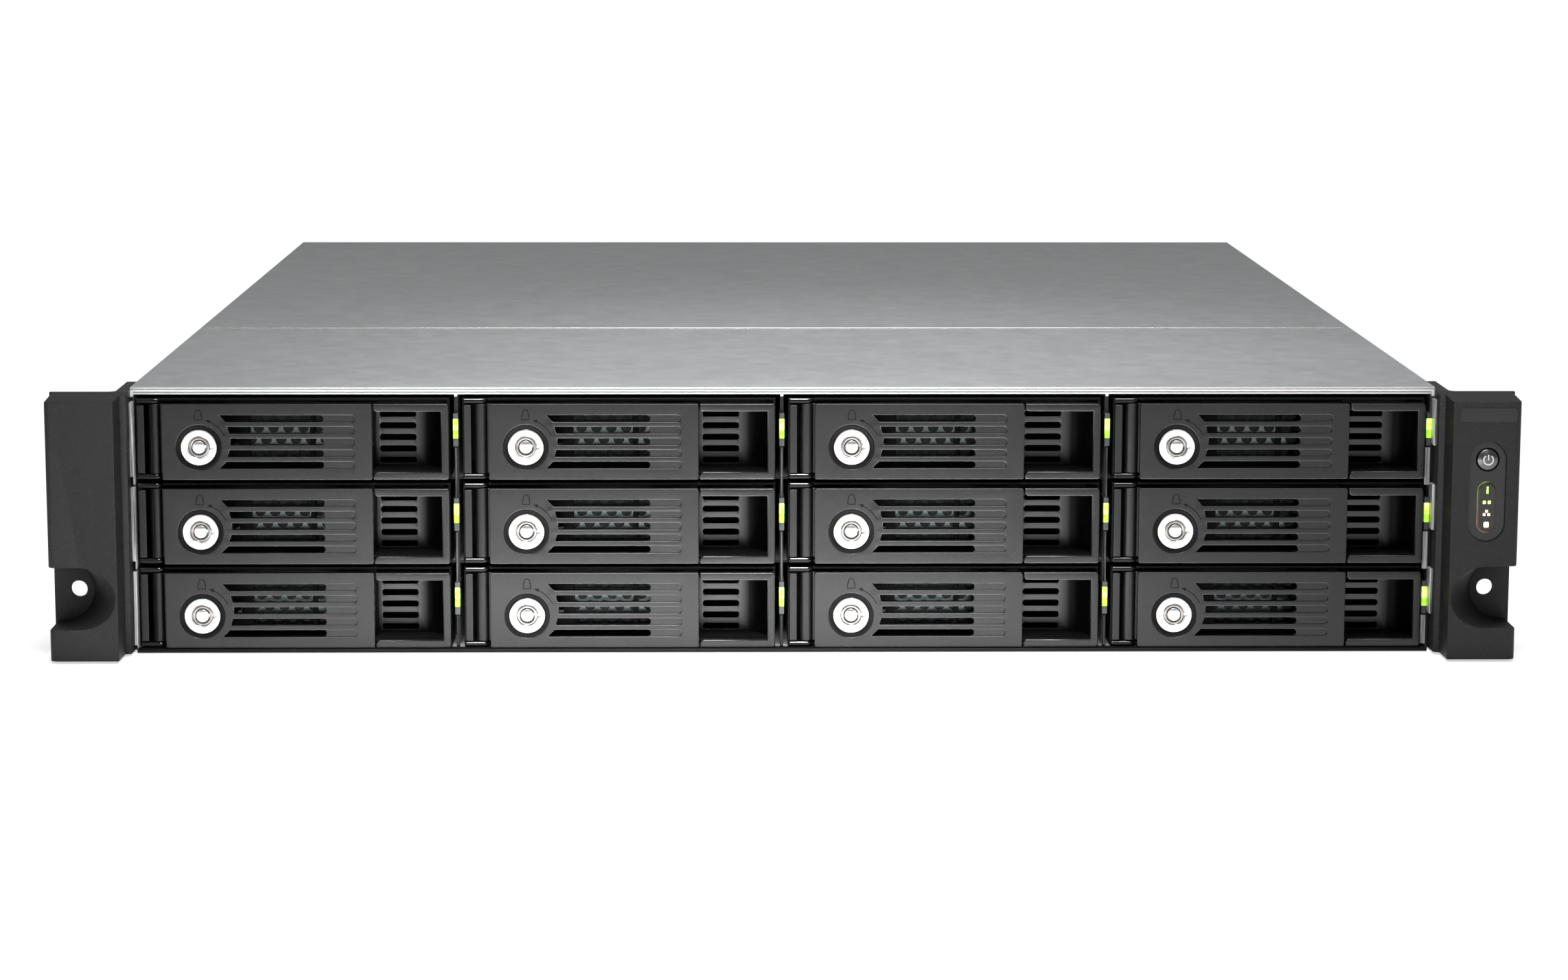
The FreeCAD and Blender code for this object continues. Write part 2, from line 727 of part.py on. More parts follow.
def make_tray_pieces():
    grille = box(
        "vent_grille", (f"{TRAY_LEFT} + grille_margin", PANEL_RIGHT),
        (BEZEL_REAR, f"{BEZEL_REAR} + grille_sheet"),
        (f"{TRAY_LOW} + grille_margin", f"{TRAY_TOP} - grille_margin"))
    pin = prism("hinge_pin", HINGE_X, "hinge_depth", (LUG_LOW_TOP, LUG_HIGH_LOW), "pin_radius", PIVOT_SIDES)
    return make_bezel(), make_carrier(), grille, make_drive(), pin


def slot_ends(index):
    """Left end of a lever slot at its lower and its upper edge, from the lock's axis."""
    if index == 0:
        return "slot_start_middle", "slot_start_middle"
    which = "second" if abs(index) == 1 else "last"
    inner = f"slot_start_{which}_inner"
    outer = f"slot_start_{which}_outer"
    return (inner, outer) if index > 0 else (outer, inner)


def make_handle():
    panel = doc.addObject("PartDesign::Body", "lever_panel")
    face = sketch_on(panel, "XZ_Plane", "-lever_thick")
    rectangle(face, (PANEL_LEFT, PANEL_RIGHT), (LEVER_LOW, LEVER_TOP))
    ring(face, LOCK_X, LOCK_Z, "lock_radius + lock_clearance", ROUND_SIDES)
    right = f"({PANEL_LEFT} + slot_end)"
    for index in range(-2, 3):
        low_end, high_end = slot_ends(index)
        middle = f"({LEVER_MID} + {index} * slot_pitch)"
        low = f"({middle} - slot_height / 2)"
        high = f"({middle} + slot_height / 2)"
        outline(face, [
            (f"{LOCK_X} + {low_end}", low), (right, low), (right, high), (f"{LOCK_X} + {high_end}", high)])
    pad(panel, face, "lever_thick")

    upright = (f"{LUG_LOW_TOP} + knuckle_gap", f"{LUG_HIGH_LOW} - knuckle_gap")
    knuckle = prism("knuckle", HINGE_X, "hinge_depth", upright, "knuckle_radius", PIVOT_SIDES)
    behind = ("lever_thick", "lever_thick + arm_thick")
    arm = box("lever_arm", (HINGE_X, f"{HINGE_X} + arm_length"), behind, upright)
    hook = box(
        "lever_hook", (f"{PANEL_RIGHT} - hook_inset - hook_width", f"{PANEL_RIGHT} - hook_inset"),
        ("lever_thick", "lever_thick + hook_reach"),
        (f"{LEVER_MID} - hook_height / 2", f"{LEVER_MID} + hook_height / 2"))
    bore = prism(
        "knuckle_bore", HINGE_X, "hinge_depth", ("0", f"{TRAY_TOP} + 1"),
        "pin_radius + pin_clearance", PIVOT_SIDES)
    return cut("handle", fuse("lever", panel, knuckle, arm, hook), bore)


def make_lock():
    depth = ("lock_recess", LOCK_REAR)
    cylinder = spindle("lock_barrel", LOCK_X, depth, LOCK_Z, "lock_radius", ROUND_SIDES)
    cam = box(
        "lock_cam", (f"{LOCK_X} - cam_width / 2", f"{LOCK_X} + cam_length"),
        (LOCK_REAR, f"{LOCK_REAR} + cam_thick"),
        (f"{LOCK_Z} - cam_width / 2", f"{LOCK_Z} + cam_width / 2"))
    return fuse("lock", cylinder, cam)


def make_bays():
    """One tray, lever and lock for each bay, counted from the top row and the left column."""
    masters = {"tray": make_tray_pieces(), "handle": (make_handle(),), "lock": (make_lock(),)}
    for row in range(ROWS):
        for column in range(COLUMNS):
            bay = f"r{row + 1}c{column + 1}"
            for kind, pieces in masters.items():
                copy = group(f"{kind}_{bay}_place", *pieces)
                place(copy, x=column_x(column), z=row_z(ROWS - 1 - row))
                node(f"{kind}_{bay}", copy)


# Rack brackets and front ears

def make_brackets():
    lug = f"({OUTER} + bracket_lug)"
    right = section(
        "right_bracket_plate", "XY_Plane", ("bracket_low", EAR_TOP),
        [(OUTER, EAR_BACK), (RACK_HALF, EAR_BACK), (RACK_HALF, "0"), (lug, "0"),
         (lug, "bracket_run"), (OUTER, "bracket_run")])
    round_upright_edges(right, [(lug, "0")], "bracket_round")
    hole = barrel("rack_hole", RACK_HOLE_X, ("-flange_thick - 1", "1"), "rack_hole_z", "rack_hole_radius")
    bracket = cut("right_bracket", right, hole)
    node("rack_brackets", group("brackets", bracket, mirrored("left_bracket", bracket)))


def mirrored(name, source):
    copy = doc.addObject("Part::Mirroring", name)
    copy.Source = source
    copy.Normal = FreeCAD.Vector(1, 0, 0)
    return copy


def make_scoop():
    """Half-round channel that runs in from the outer side and shallows out towards the inner front edge."""
    body = doc.addObject("PartDesign::Body", "scoop")
    sketch = sketch_on(body, "XZ_Plane", "-scoop_run")
    radius = size("scoop_radius")
    run = size("scoop_run")
    whole = Part.Circle(FreeCAD.Vector(), FreeCAD.Vector(0, 0, 1), radius)
    sketch.addGeometry(Part.ArcOfCircle(whole, 0.5 * math.pi, 1.5 * math.pi), False)
    corners = [(0, -radius), (run, -radius), (run, radius), (0, radius)]
    points = [FreeCAD.Vector(x, y, 0) for x, y in corners]
    for start, end in zip(points, points[1:]):
        sketch.addGeometry(Part.LineSegment(start, end), False)
    sketch.addConstraint(Sketcher.Constraint("Coincident", 0, 3, -1, 1))
    for first, first_end, second, second_end in ((0, 2, 1, 1), (1, 2, 2, 1), (2, 2, 3, 1), (3, 2, 0, 1)):
        sketch.addConstraint(Sketcher.Constraint("Coincident", first, first_end, second, second_end))
    fix_point(sketch, 1, 1, ("0", "-scoop_radius"))
    fix_point(sketch, 2, 1, ("scoop_run", "-scoop_radius"))
    fix_point(sketch, 3, 1, ("scoop_run", "scoop_radius"))
    sketch.addConstraint(Sketcher.Constraint("PointOnObject", 3, 2, -2))
    pad(body, sketch, "scoop_run * 2")
    turn = FreeCAD.Rotation(FreeCAD.Vector(0, 0, -1), size("scoop_turn"))
    body.Placement = FreeCAD.Placement(FreeCAD.Vector(), turn)
    bind(body, "Placement.Rotation.Angle", "scoop_turn")
    place(body, RACK_HALF, "0", SCOOP_Z)
    return body


def make_ears():
    block = section(
        "ear_block", "XY_Plane", ("bracket_low", EAR_TOP),
        [(EAR_OUTSIDE, EAR_BACK), (OUTER, EAR_BACK), (OUTER, f"{EAR_BACK} - ear_step"),
         (EAR_SIDE, f"{EAR_BACK} - ear_step"), (EAR_SIDE, EAR_FRONT), (EAR_OUTSIDE, EAR_FRONT)])
    round_upright_edges(block, [(EAR_OUTSIDE, EAR_FRONT)], "ear_corner / 2")
    slope_start = f"{EAR_FRONT_TOP} - ear_fall / ear_depth"
    above = f"{EAR_TOP} + 5"
    slope = section(
        "ear_slope", "YZ_Plane", (f"{OUTER} - 1", f"{RACK_HALF} + 1"),
        [(f"{EAR_FRONT} - 1", slope_start), (EAR_BACK, EAR_TOP), (EAR_BACK, above),
         (f"{EAR_FRONT} - 1", above)])
    plain = cut("plain_ear", block, slope, make_scoop())
    node("left_ear", mirrored("left_ear_block", plain))

    deep = (f"{EAR_FRONT} - 1", PANEL_FLOOR)
    recess = pill("panel_recess_bar", PANEL_X, deep, ("panel_low", PANEL_HIGH), "panel_radius")
    well_floor = f"({EAR_FRONT} - button_proud + button_length + button_travel + button_clearance)"
    well_depth = (f"{EAR_FRONT} - 1", well_floor)
    well = barrel("button_well", PANEL_X, well_depth, BUTTON_Z, "button_radius + button_clearance")
    node("right_ear", cut("right_ear_block", plain, recess, well))

    front = f"({EAR_FRONT} - button_proud)"
    button_depth = (front, f"{front} + button_length")
    node("power_button", barrel("button", PANEL_X, button_depth, BUTTON_Z, "button_radius"))
    lens_depth = (f"{PANEL_FLOOR} - lens_thick", PANEL_FLOOR)
    node("status_lens", pill("lens", PANEL_X, lens_depth, (LENS_LOW, LENS_HIGH), "lens_radius"))


# Rear panel

def port_places():
    return [f"({BOARD_LEFT} + port_offset + {i} * port_pitch)" for i in range(PORTS)]


def usb_places():
    return [f"({BOARD_LEFT} + usb_offset + {i} * port_pitch)" for i in range(USB_STACKS)]


def make_rear_panel():
    panel = doc.addObject("PartDesign::Body", "rear_sheet_panel")
    face = sketch_on(panel, "XZ_Plane", f"-{REAR}")
    rectangle(face, (f"-{INNER}", INNER), ("wall", LIP_LOW))
    bay_top = f"(wall + supply_gap + {SUPPLY_PITCH} + {SUPPLY_HEIGHT} + supply_gap)"
    bay_sides = (f"{SUPPLY_LEFT} - supply_gap", f"{SUPPLY_RIGHT} + supply_gap")
    rectangle(face, bay_sides, ("wall + supply_gap / 2", bay_top))
    for kind, places in (("port", port_places()), ("usb", usb_places())):
        width = f"{kind}_width"
        height = f"{kind}_height"
        for x in places:
            rectangle(
                face, (f"{x} - port_clearance", f"{x} + {width} + port_clearance"),
                (f"{BOARD_TOP} - port_clearance", f"{BOARD_TOP} + {height} + port_clearance"))
    vent_low = f"({BOARD_TOP} + vent_lift)"
    for i in range(VENTS):
        left = f"(vent_offset - {INNER} + {i} * vent_pitch)"
        rectangle(face, (left, f"{left} + vent_width"), (vent_low, f"{vent_low} + vent_height"))
    for x in thumb_places():
        ring(face, x, THUMB_Z, "thumb_shank + thumb_clearance", PIVOT_SIDES)
    pad(panel, face, "wall")
    node("rear_panel", panel)


# Power supplies and their latches

def make_supply():
    low = "(wall + supply_gap)"
    rear = REAR
    high = f"({low} + {SUPPLY_HEIGHT})"
    middle = f"(({low} + {high}) / 2)"
    case = box("supply_case", (SUPPLY_LEFT, SUPPLY_RIGHT), (SUPPLY_FRONT, rear), (low, high))

    inlet_left = f"({SUPPLY_LEFT} + inlet_offset)"
    inlet_low = f"({middle} - inlet_height / 2)"
    socket = box(
        "inlet_socket", (f"{inlet_left} + inlet_wall", f"{inlet_left} + inlet_width - inlet_wall"),
        (f"{rear} - inlet_depth", f"{rear} + 1"),
        (f"{inlet_low} + inlet_wall", f"{inlet_low} + inlet_height - inlet_wall"))

    grip_left = f"({SUPPLY_LEFT} + grip_offset)"
    grip_x = (grip_left, f"{grip_left} + grip_width")
    outside = f"({rear} + grip_reach)"
    bottom = f"({low} + grip_margin)"
    top = f"({high} - grip_margin)"
    grip = [
        box("grip_foot", grip_x, (rear, outside), (bottom, f"{bottom} + grip_bar")),
        box("grip_head", grip_x, (rear, outside), (f"{top} - grip_bar", top)),
        box("grip_handle", grip_x, (f"{outside} - grip_bar", outside), (bottom, top))]

    latch_x = f"({SUPPLY_LEFT} + latch_offset)"
    latch_low = f"({middle} - latch_height / 2)"
    latch_top = f"({middle} + latch_height / 2)"
    latch_y = f"({rear} + latch_stand)"
    lug_x = (f"{latch_x} - latch_knuckle", f"{latch_x} + latch_knuckle")
    lug_y = (rear, f"{latch_y} + latch_knuckle")
    pin_low = f"({latch_low} - knuckle_gap)"
    pin_top = f"({latch_top} + knuckle_gap)"
    lugs = [
        box("latch_lug_low", lug_x, lug_y, (f"{pin_low} - latch_lug", pin_low)),
        box("latch_lug_high", lug_x, lug_y, (pin_top, f"{pin_top} + latch_lug"))]
    pin = prism("latch_pin_post", latch_x, latch_y, (pin_low, pin_top), "latch_pin", PIVOT_SIDES)
    supply = cut("supply", fuse("supply_whole", case, pin, *grip, *lugs), socket)

    knuckle = prism("latch_barrel", latch_x, latch_y, (latch_low, latch_top), "latch_knuckle", PIVOT_SIDES)
    tab = box(
        "latch_tab", (f"{latch_x} - latch_thick / 2", f"{latch_x} + latch_thick / 2"),
        (latch_y, f"{latch_y} + latch_reach"), (latch_low, latch_top))
    bore = prism(
        "latch_bore", latch_x, latch_y, (f"{latch_low} - 1", f"{latch_top} + 1"),
        "latch_pin + pin_clearance", PIVOT_SIDES)
    latch = cut("latch", fuse("latch_whole", knuckle, tab), bore)
    return supply, latch


def make_supplies():
    supply, latch = make_supply()
    for number in range(SUPPLIES):
        for label, master in (("power_supply", supply), ("supply_latch", latch)):
            copy = group(f"{label}_{number + 1}_place", master)
            place(copy, z=f"{number} * {SUPPLY_PITCH}")
            node(f"{label}_{number + 1}", copy)


# Motherboard, heatsink and rear connectors

def make_motherboard():
    front = f"({BOARD_REAR} - board_depth)"
    pieces = [box("board", (BOARD_LEFT, BOARD_RIGHT), (front, BOARD_REAR), (BOARD_LOW, BOARD_TOP))]
    middle = f"({BOARD_LEFT} + {BOARD_RIGHT}) / 2"
    across = (f"{BOARD_LEFT} + standoff_inset", middle, f"{BOARD_RIGHT} - standoff_inset")
    along = (f"{front} + standoff_inset", f"{BOARD_REAR} - board_depth / 4")
    for i, x in enumerate(across):
        for j, y in enumerate(along):
            level = ("wall", BOARD_LOW)
            pieces.append(prism(f"standoff_{i}_{j}", x, y, level, "standoff_radius", HEX_SIDES))
    for i in range(MEMORY_STICKS):
        x = f"({BOARD_LEFT} + memory_offset + {i} * memory_pitch)"
        y = (f"{SINK_Y} - memory_length / 2", f"{SINK_Y} + memory_length / 2")
        socket_top = f"({BOARD_TOP} + socket_height)"
        socket = (f"{x} - socket_width / 2", f"{x} + socket_width / 2")
        stick = (f"{x} - memory_thick / 2", f"{x} + memory_thick / 2")
        pieces.append(box(f"memory_socket_{i}", socket, y, (BOARD_TOP, socket_top)))
        pieces.append(box(f"memory_stick_{i}", stick, y, (socket_top, f"{BOARD_TOP} + memory_height")))
    node("motherboard", group("board_group", *pieces))


def make_heatsink():
    left = f"({SINK_X} - sink_size / 2)"
    right = f"({SINK_X} + sink_size / 2)"
    base = f"({BOARD_TOP} + sink_base)"
    top = f"({BOARD_TOP} + sink_height)"
    pitch = f"((sink_size - fin_thick) / {FINS - 1})"
    comb = [(left, BOARD_TOP), (right, BOARD_TOP)]
    for i in range(FINS):
        outside = f"({right} - {i} * {pitch})"
        inside = f"({outside} - fin_thick)"
        start = (outside, base) if i else (outside, top)
        comb += [start, (outside, top)] if i else [start]
        comb += [(inside, top), (inside, base)]
    comb[-1] = (left, base)
    comb[-2] = (left, top)
    span = (f"{SINK_Y} - sink_size / 2", f"{SINK_Y} + sink_size / 2")
    node("cpu_heatsink", section("heatsink", "XZ_Plane", span, comb))


def make_connectors():
    span = (f"{PORT_REAR} - port_length", PORT_REAR)
    mouth = (f"{PORT_REAR} - port_depth", f"{PORT_REAR} + 1")
    pieces = []
    for i, x in enumerate(port_places()):
        level = (BOARD_TOP, f"{BOARD_TOP} + port_height")
        shell = box(f"port_shell_{i}", (x, f"{x} + port_width"), span, level)
        cavity = box(
            f"port_mouth_{i}", (f"{x} + port_wall", f"{x} + port_width - port_wall"), mouth,
            (f"{BOARD_TOP} + port_wall", f"{BOARD_TOP} + port_height - port_wall"))
        pieces.append(cut(f"port_{i}", shell, cavity))
    for i, x in enumerate(usb_places()):
        level = (BOARD_TOP, f"{BOARD_TOP} + usb_height")
        shell = box(f"usb_shell_{i}", (x, f"{x} + usb_width"), span, level)
        sides = (f"{x} + port_wall / 2", f"{x} + usb_width - port_wall / 2")
        first = f"({BOARD_TOP} + port_wall / 2)"
        second = f"({BOARD_TOP} + usb_height - port_wall / 2 - usb_slot)"
        mouths = [box(f"usb_mouth_{i}_{j}", sides, mouth, (low, f"{low} + usb_slot"))
                  for j, low in enumerate((first, second))]
        pieces.append(cut(f"usb_{i}", shell, *mouths))
    node("io_connectors", group("connectors", *pieces))


# Backplane and fans

def make_backplane():
    board = section(
        "backplane_board", "XZ_Plane", (CAGE_REAR, f"{CAGE_REAR} + backplane_thick"),
        [(f"backplane_margin - {INNER}", "wall"), (f"{INNER} - backplane_margin", "wall"),
         (f"{INNER} - backplane_margin", CAGE_LOW), (f"backplane_margin - {INNER}", CAGE_LOW)])
    plugs = []
    windows = []
    for column in range(COLUMNS):
        left = f"({TRAY_LEFT} + plug_offset + {column_x(column)})"
        for row in range(ROWS):
            low = f"(wall + row_pitch / 4 + {row_z(row)})"
            plugs.append(box(
                f"plug_{column}_{row}", (left, f"{left} + plug_width"), (PLUG_FRONT, CAGE_REAR),
                (low, f"{low} + plug_height")))
            windows.append(box(
                f"air_window_{column}_{row}", (left, f"{left} + plug_width * 2 - plug_offset"),
                (f"{CAGE_REAR} - 1", f"{CAGE_REAR} + backplane_thick + 1"),
                (f"{low} + plug_height * 2", f"{low} + row_pitch / 4 + plug_height * 2")))
    node("backplane", group("backplane_group", cut("backplane_sheet", board, *windows), *plugs))


def fan_x(number):
    return f"({number} * fan_pitch - {(FANS - 1) / 2} * fan_pitch)"


def make_fan_frame(number):
    x = fan_x(number)
    half = f"{FAN_SIZE} / 2"
    frame = doc.addObject("PartDesign::Body", f"fan_frame_{number}")
    face = sketch_on(frame, "XZ_Plane", f"-{FAN_REAR}")
    rectangle(face, (f"{x} - {half}", f"{x} + {half}"), (FAN_LOW, f"{FAN_LOW} + {FAN_SIZE}"))
    ring(face, x, FAN_Z, FAN_BORE, BORE_SIDES)
    pad(frame, face, "fan_thick")
    depth = (STATOR_FRONT, FAN_REAR)
    stator = spindle(f"stator_{number}", x, depth, FAN_Z, "fan_hub", ROUND_SIDES)
    rib = "strut_width / 2"
    across = box(
        f"strut_across_{number}", (f"{x} - {half}", f"{x} + {half}"), depth,
        (f"{FAN_Z} - {rib}", f"{FAN_Z} + {rib}"))
    upright = box(
        f"strut_up_{number}", (f"{x} - {rib}", f"{x} + {rib}"), depth, (FAN_LOW, f"{FAN_LOW} + {FAN_SIZE}"))
    bearing = spindle(
        f"bearing_{number}", x, (f"{STATOR_FRONT} - 1", f"{FAN_REAR} + 1"), FAN_Z,
        "shaft_radius + shaft_clearance", PIVOT_SIDES)
    whole = fuse(f"fan_whole_{number}", frame, stator, across, upright)
    return cut(f"fan_housing_{number}", whole, bearing)


def make_fan_wall():
    wall_sheet = doc.addObject("PartDesign::Body", "fan_wall")
    face = sketch_on(wall_sheet, "XZ_Plane", f"-{FAN_FRONT}")
    rectangle(face, (f"-{INNER}", INNER), ("wall", CAGE_LOW))
    for number in range(FANS):
        reach = f"({FAN_SIZE} / 2 - fan_wall_margin)"
        x = fan_x(number)
        rectangle(face, (f"{x} - {reach}", f"{x} + {reach}"), (f"{FAN_Z} - {reach}", f"{FAN_Z} + {reach}"))
    pad(wall_sheet, face, "fan_wall_sheet")
    return wall_sheet


def make_rotor(number):
    x = fan_x(number)
    rear = f"({STATOR_FRONT} - fan_gap)"
    front = f"({FAN_FRONT} + fan_gap)"
    middle = f"(({front} + {rear}) / 2)"
    hub = spindle(f"hub_{number}", x, (front, rear), FAN_Z, "fan_hub", ROUND_SIDES)
    shaft = spindle(f"shaft_{number}", x, (rear, FAN_REAR), FAN_Z, "shaft_radius", PIVOT_SIDES)
    blades = []
    for i in range(BLADES):
        blade = doc.addObject("Part::Box", f"blade_{number}_{i}")
        bind(blade, "Length", "blade_chord")
        bind(blade, "Width", "blade_thick")
        bind(blade, "Height", f"{FAN_BORE} - fan_tip_gap - fan_hub / 2")
        turn = FreeCAD.Rotation(FreeCAD.Vector(0, 1, 0), 360.0 * i / BLADES)
        tilt = FreeCAD.Rotation(FreeCAD.Vector(0, 0, 1), size("blade_tilt"))
        centred = FreeCAD.Vector(-size("blade_chord") / 2, -size("blade_thick") / 2, size("fan_hub") / 2)
        turned = turn.multiply(tilt)
        shift = turned.multVec(centred)
        blade.Placement = FreeCAD.Placement(shift, turned)
        place(blade, f"{x} + {shift.x}", f"{middle} + {shift.y}", f"{FAN_Z} + {shift.z}")
        blades.append(blade)
    node(f"fan_rotor_{number + 1}", fuse(f"rotor_{number}", hub, shaft, *blades))


def make_fans():
    frames = [make_fan_frame(number) for number in range(FANS)]
    node("fan_frames", group("fan_frame_group", make_fan_wall(), *frames))
    for number in range(FANS):
        make_rotor(number)


def check_document():
    failed = [item.Name for item in doc.Objects if "Invalid" in item.State or "Error" in item.State]
    if failed:
        raise RuntimeError(f"objects that failed: {failed}")
    for item in nodes:
        if item.Shape.isNull() or not item.Shape.isValid() or not item.Shape.Solids:
            raise RuntimeError(f"bad shape: {item.Label}")


def write_parts():
    os.makedirs("parts", exist_ok=True)
    for item in nodes:
        item.Shape.exportStep(f"parts/{item.Label}.step")


make_chassis()
make_covers()
make_thumbscrews()
make_cage()
make_light_pipes()
make_bays()
make_brackets()
make_ears()
make_rear_panel()
make_supplies()
make_motherboard()
make_heatsink()
make_connectors()
make_backplane()
make_fans()
doc.recompute()
check_document()
write_parts()
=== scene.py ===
import json
import math

import bmesh
import bpy
from mathutils import Matrix, Vector
from mathutils.geometry import delaunay_2d_cdt


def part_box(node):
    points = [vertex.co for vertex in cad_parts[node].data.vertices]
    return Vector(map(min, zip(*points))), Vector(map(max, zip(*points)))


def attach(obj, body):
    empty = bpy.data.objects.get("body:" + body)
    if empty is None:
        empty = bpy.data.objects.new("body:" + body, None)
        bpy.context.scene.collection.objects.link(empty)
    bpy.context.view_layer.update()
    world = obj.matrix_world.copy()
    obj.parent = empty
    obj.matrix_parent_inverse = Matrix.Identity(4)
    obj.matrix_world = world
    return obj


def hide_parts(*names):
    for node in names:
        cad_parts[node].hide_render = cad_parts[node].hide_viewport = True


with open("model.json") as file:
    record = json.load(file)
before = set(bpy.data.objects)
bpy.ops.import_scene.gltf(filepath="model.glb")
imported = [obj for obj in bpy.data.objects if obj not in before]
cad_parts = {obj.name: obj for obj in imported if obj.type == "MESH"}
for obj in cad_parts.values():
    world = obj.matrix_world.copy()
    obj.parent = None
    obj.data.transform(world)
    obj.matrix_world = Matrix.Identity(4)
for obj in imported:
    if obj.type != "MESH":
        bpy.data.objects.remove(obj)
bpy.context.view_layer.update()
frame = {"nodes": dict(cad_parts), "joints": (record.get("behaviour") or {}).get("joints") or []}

# Rackmount storage server. Metres. The front faces -Y and the top faces +Z.
MM = 0.001
MASTER = "r3c1"
BAYS = sorted(name[len("tray_"):] for name in frame["nodes"] if name.startswith("tray_"))
JOINTS = {joint["name"]: joint for joint in frame["joints"]}


def joint_place(name):
    return Vector(JOINTS[name]["pos_m"])


def off(place, *offsets):
    """Places that lie some millimetres off a place."""
    return tuple(place + offset * MM for offset in offsets)


def around(middle, half):
    return (middle - half, middle + half)


# Places read from the frame, for the lowest tray of the left column
TRAY_LOW, TRAY_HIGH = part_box(f"tray_{MASTER}")
LEVER_LOW, LEVER_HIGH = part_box(f"handle_{MASTER}")
LOCK_LOW, LOCK_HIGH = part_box(f"lock_{MASTER}")
HINGE = joint_place(f"handle_{MASTER}_swing")
LOCK = joint_place(f"lock_{MASTER}_turn")
LEVER_MID = (LEVER_LOW.z + LEVER_HIGH.z) / 2

# Lever
PANEL_LEFT = HINGE.x + 2.5 * MM
PANEL_RIGHT = LEVER_HIGH.x
LEVER_THICK = 3.0 * MM
FACE_DEPTH = 0.6 * MM
FACE_OVERLAP = 0.4 * MM
EDGE = 0.2 * MM
SLOT_COUNT = 5
SLOT_HEIGHT = 2.35 * MM
SLOT_PITCH = 3.87 * MM
SLOT_THROUGH = PANEL_LEFT + 53.0 * MM
SLOT_END = PANEL_LEFT + 63.3 * MM
SLOT_STARTS = ((10.46, 10.46), (10.1, 9.47), (9.0, 6.8))
LOCK_RADIUS = 6.2 * MM
LOCK_FACE_RADIUS = 6.05 * MM
RING_RADIUS = 7.5 * MM
KEYWAY = off(0, 2.4, 3.45)
KNUCKLE_RADIUS = 2.3 * MM
KNUCKLE_LOW = TRAY_LOW.z + 1.95 * MM
KNUCKLE_HIGH = TRAY_HIGH.z - 1.8 * MM
LUG_LOW = off(TRAY_LOW.z, 0, 1.75)
LUG_HIGH = off(TRAY_HIGH.z, -1.6, 0)
PIN_RADIUS = 0.9 * MM

# Signs beside the lock
LINE = 0.28 * MM
SIGN_DEPTH = off(0, -0.03, 0.3)
PADLOCK_LOW = LOCK.z + 9.0 * MM
PADLOCK_WIDTH = 2.7 * MM
PADLOCK_HEIGHT = 2.0 * MM
SHACKLE_RADIUS = 1.05 * MM
SHACKLE_RISE = 0.5 * MM
ARROW_RADIUS = 9.3 * MM

# Finger pull and bezel
PULL_RIGHT = TRAY_HIGH.x - 0.2 * MM
PULL_LEFT = PULL_RIGHT - 24.7 * MM
RECESS_LEFT = PULL_LEFT - 0.6 * MM
PULL_BAR = 2.5 * MM
PULL_DEPTH = 3.4 * MM
BEZEL_FRONT = 3.4 * MM
BEZEL_REAR = 16.5 * MM
BEZEL_SKIN = 1.0 * MM
BEZEL_BACK = 1.5 * MM
RECESS_FLOOR = BEZEL_REAR - BEZEL_BACK
RECESS_ROUND = 8.4 * MM
RECESS_WALL = 0.9 * MM
RECESS_SPAN = (LEVER_LOW.z + PULL_BAR - RECESS_WALL, LEVER_HIGH.z - PULL_BAR + RECESS_WALL)
CHEEK = 2.1 * MM
BEZEL_WINDOWS = ((36.2, 55.9), (57.6, 66.5))
RECESS_SLOTS = 5
RECESS_SLOT_LOW = 5.6 * MM
RECESS_SLOT_PITCH = 3.9 * MM
RECESS_SLOT_HEIGHT = 1.9 * MM
RECESS_SLOT_LEFT = PULL_LEFT + 0.8 * MM
RECESS_SLOT_RIGHT = PULL_LEFT + 12.9 * MM

# Grille and drive
GRILLE_THICK = 0.6 * MM
GRILLE_HOLE = 1.8 * MM
GRILLE_PITCH = 4.95 * MM
GRILLE_ROW = 3.9 * MM
GRILLE_ROWS = 5
# Height band of the grille with painted light; above and below it gets painted shade.
GRILLE_PAINTED_LIGHT = off(0, 10.8, 16.6)
DRIVE_WIDTH = 101.6 * MM
DRIVE_LENGTH = 147.0 * MM
DRIVE_HEIGHT = 26.1 * MM


# Outlines seen from the front, as lists of (x, z)

ROUND_STEPS = 48


def circle(x, z, radius, steps=ROUND_STEPS):
    turns = [2 * math.pi * i / steps for i in range(steps)]
    return [(x + radius * math.cos(a), z + radius * math.sin(a)) for a in turns]


def arc(x, z, radius, start, end, steps=8):
    """Points on an arc between two angles in degrees."""
    turns = [math.radians(start + (end - start) * i / steps) for i in range(steps + 1)]
    return [(x + radius * math.cos(a), z + radius * math.sin(a)) for a in turns]


def rectangle(x, z):
    return [(x[0], z[0]), (x[1], z[0]), (x[1], z[1]), (x[0], z[1])]


def rounded_rectangle(x, z, radius, steps=6):
    (left, right), (low, high) = x, z
    corners = ((right, high, 0), (left, high, 90), (left, low, 180), (right, low, 270))
    points = []
    for at_x, at_z, turn in corners:
        inward_x = at_x - math.copysign(radius, at_x - (left + right) / 2)
        inward_z = at_z - math.copysign(radius, at_z - (low + high) / 2)
        points += arc(inward_x, inward_z, radius, turn, turn + 90, steps)
    return points


def band(points, width):
    """Outline of a line of some width that follows the points."""
    left = []
    right = []
    for i, (x, z) in enumerate(points):
        before = points[max(i - 1, 0)]
        after = points[min(i + 1, len(points) - 1)]
        along = Vector((after[0] - before[0], after[1] - before[1])).normalized()
        left.append((x - along.y * width / 2, z + along.x * width / 2))
        right.append((x + along.y * width / 2, z - along.x * width / 2))
    return left + right[::-1]


# Meshes

def placed(name, data):
    """A new object in the scene."""
    item = bpy.data.objects.new(name, data)
    bpy.context.scene.collection.objects.link(item)
    return item


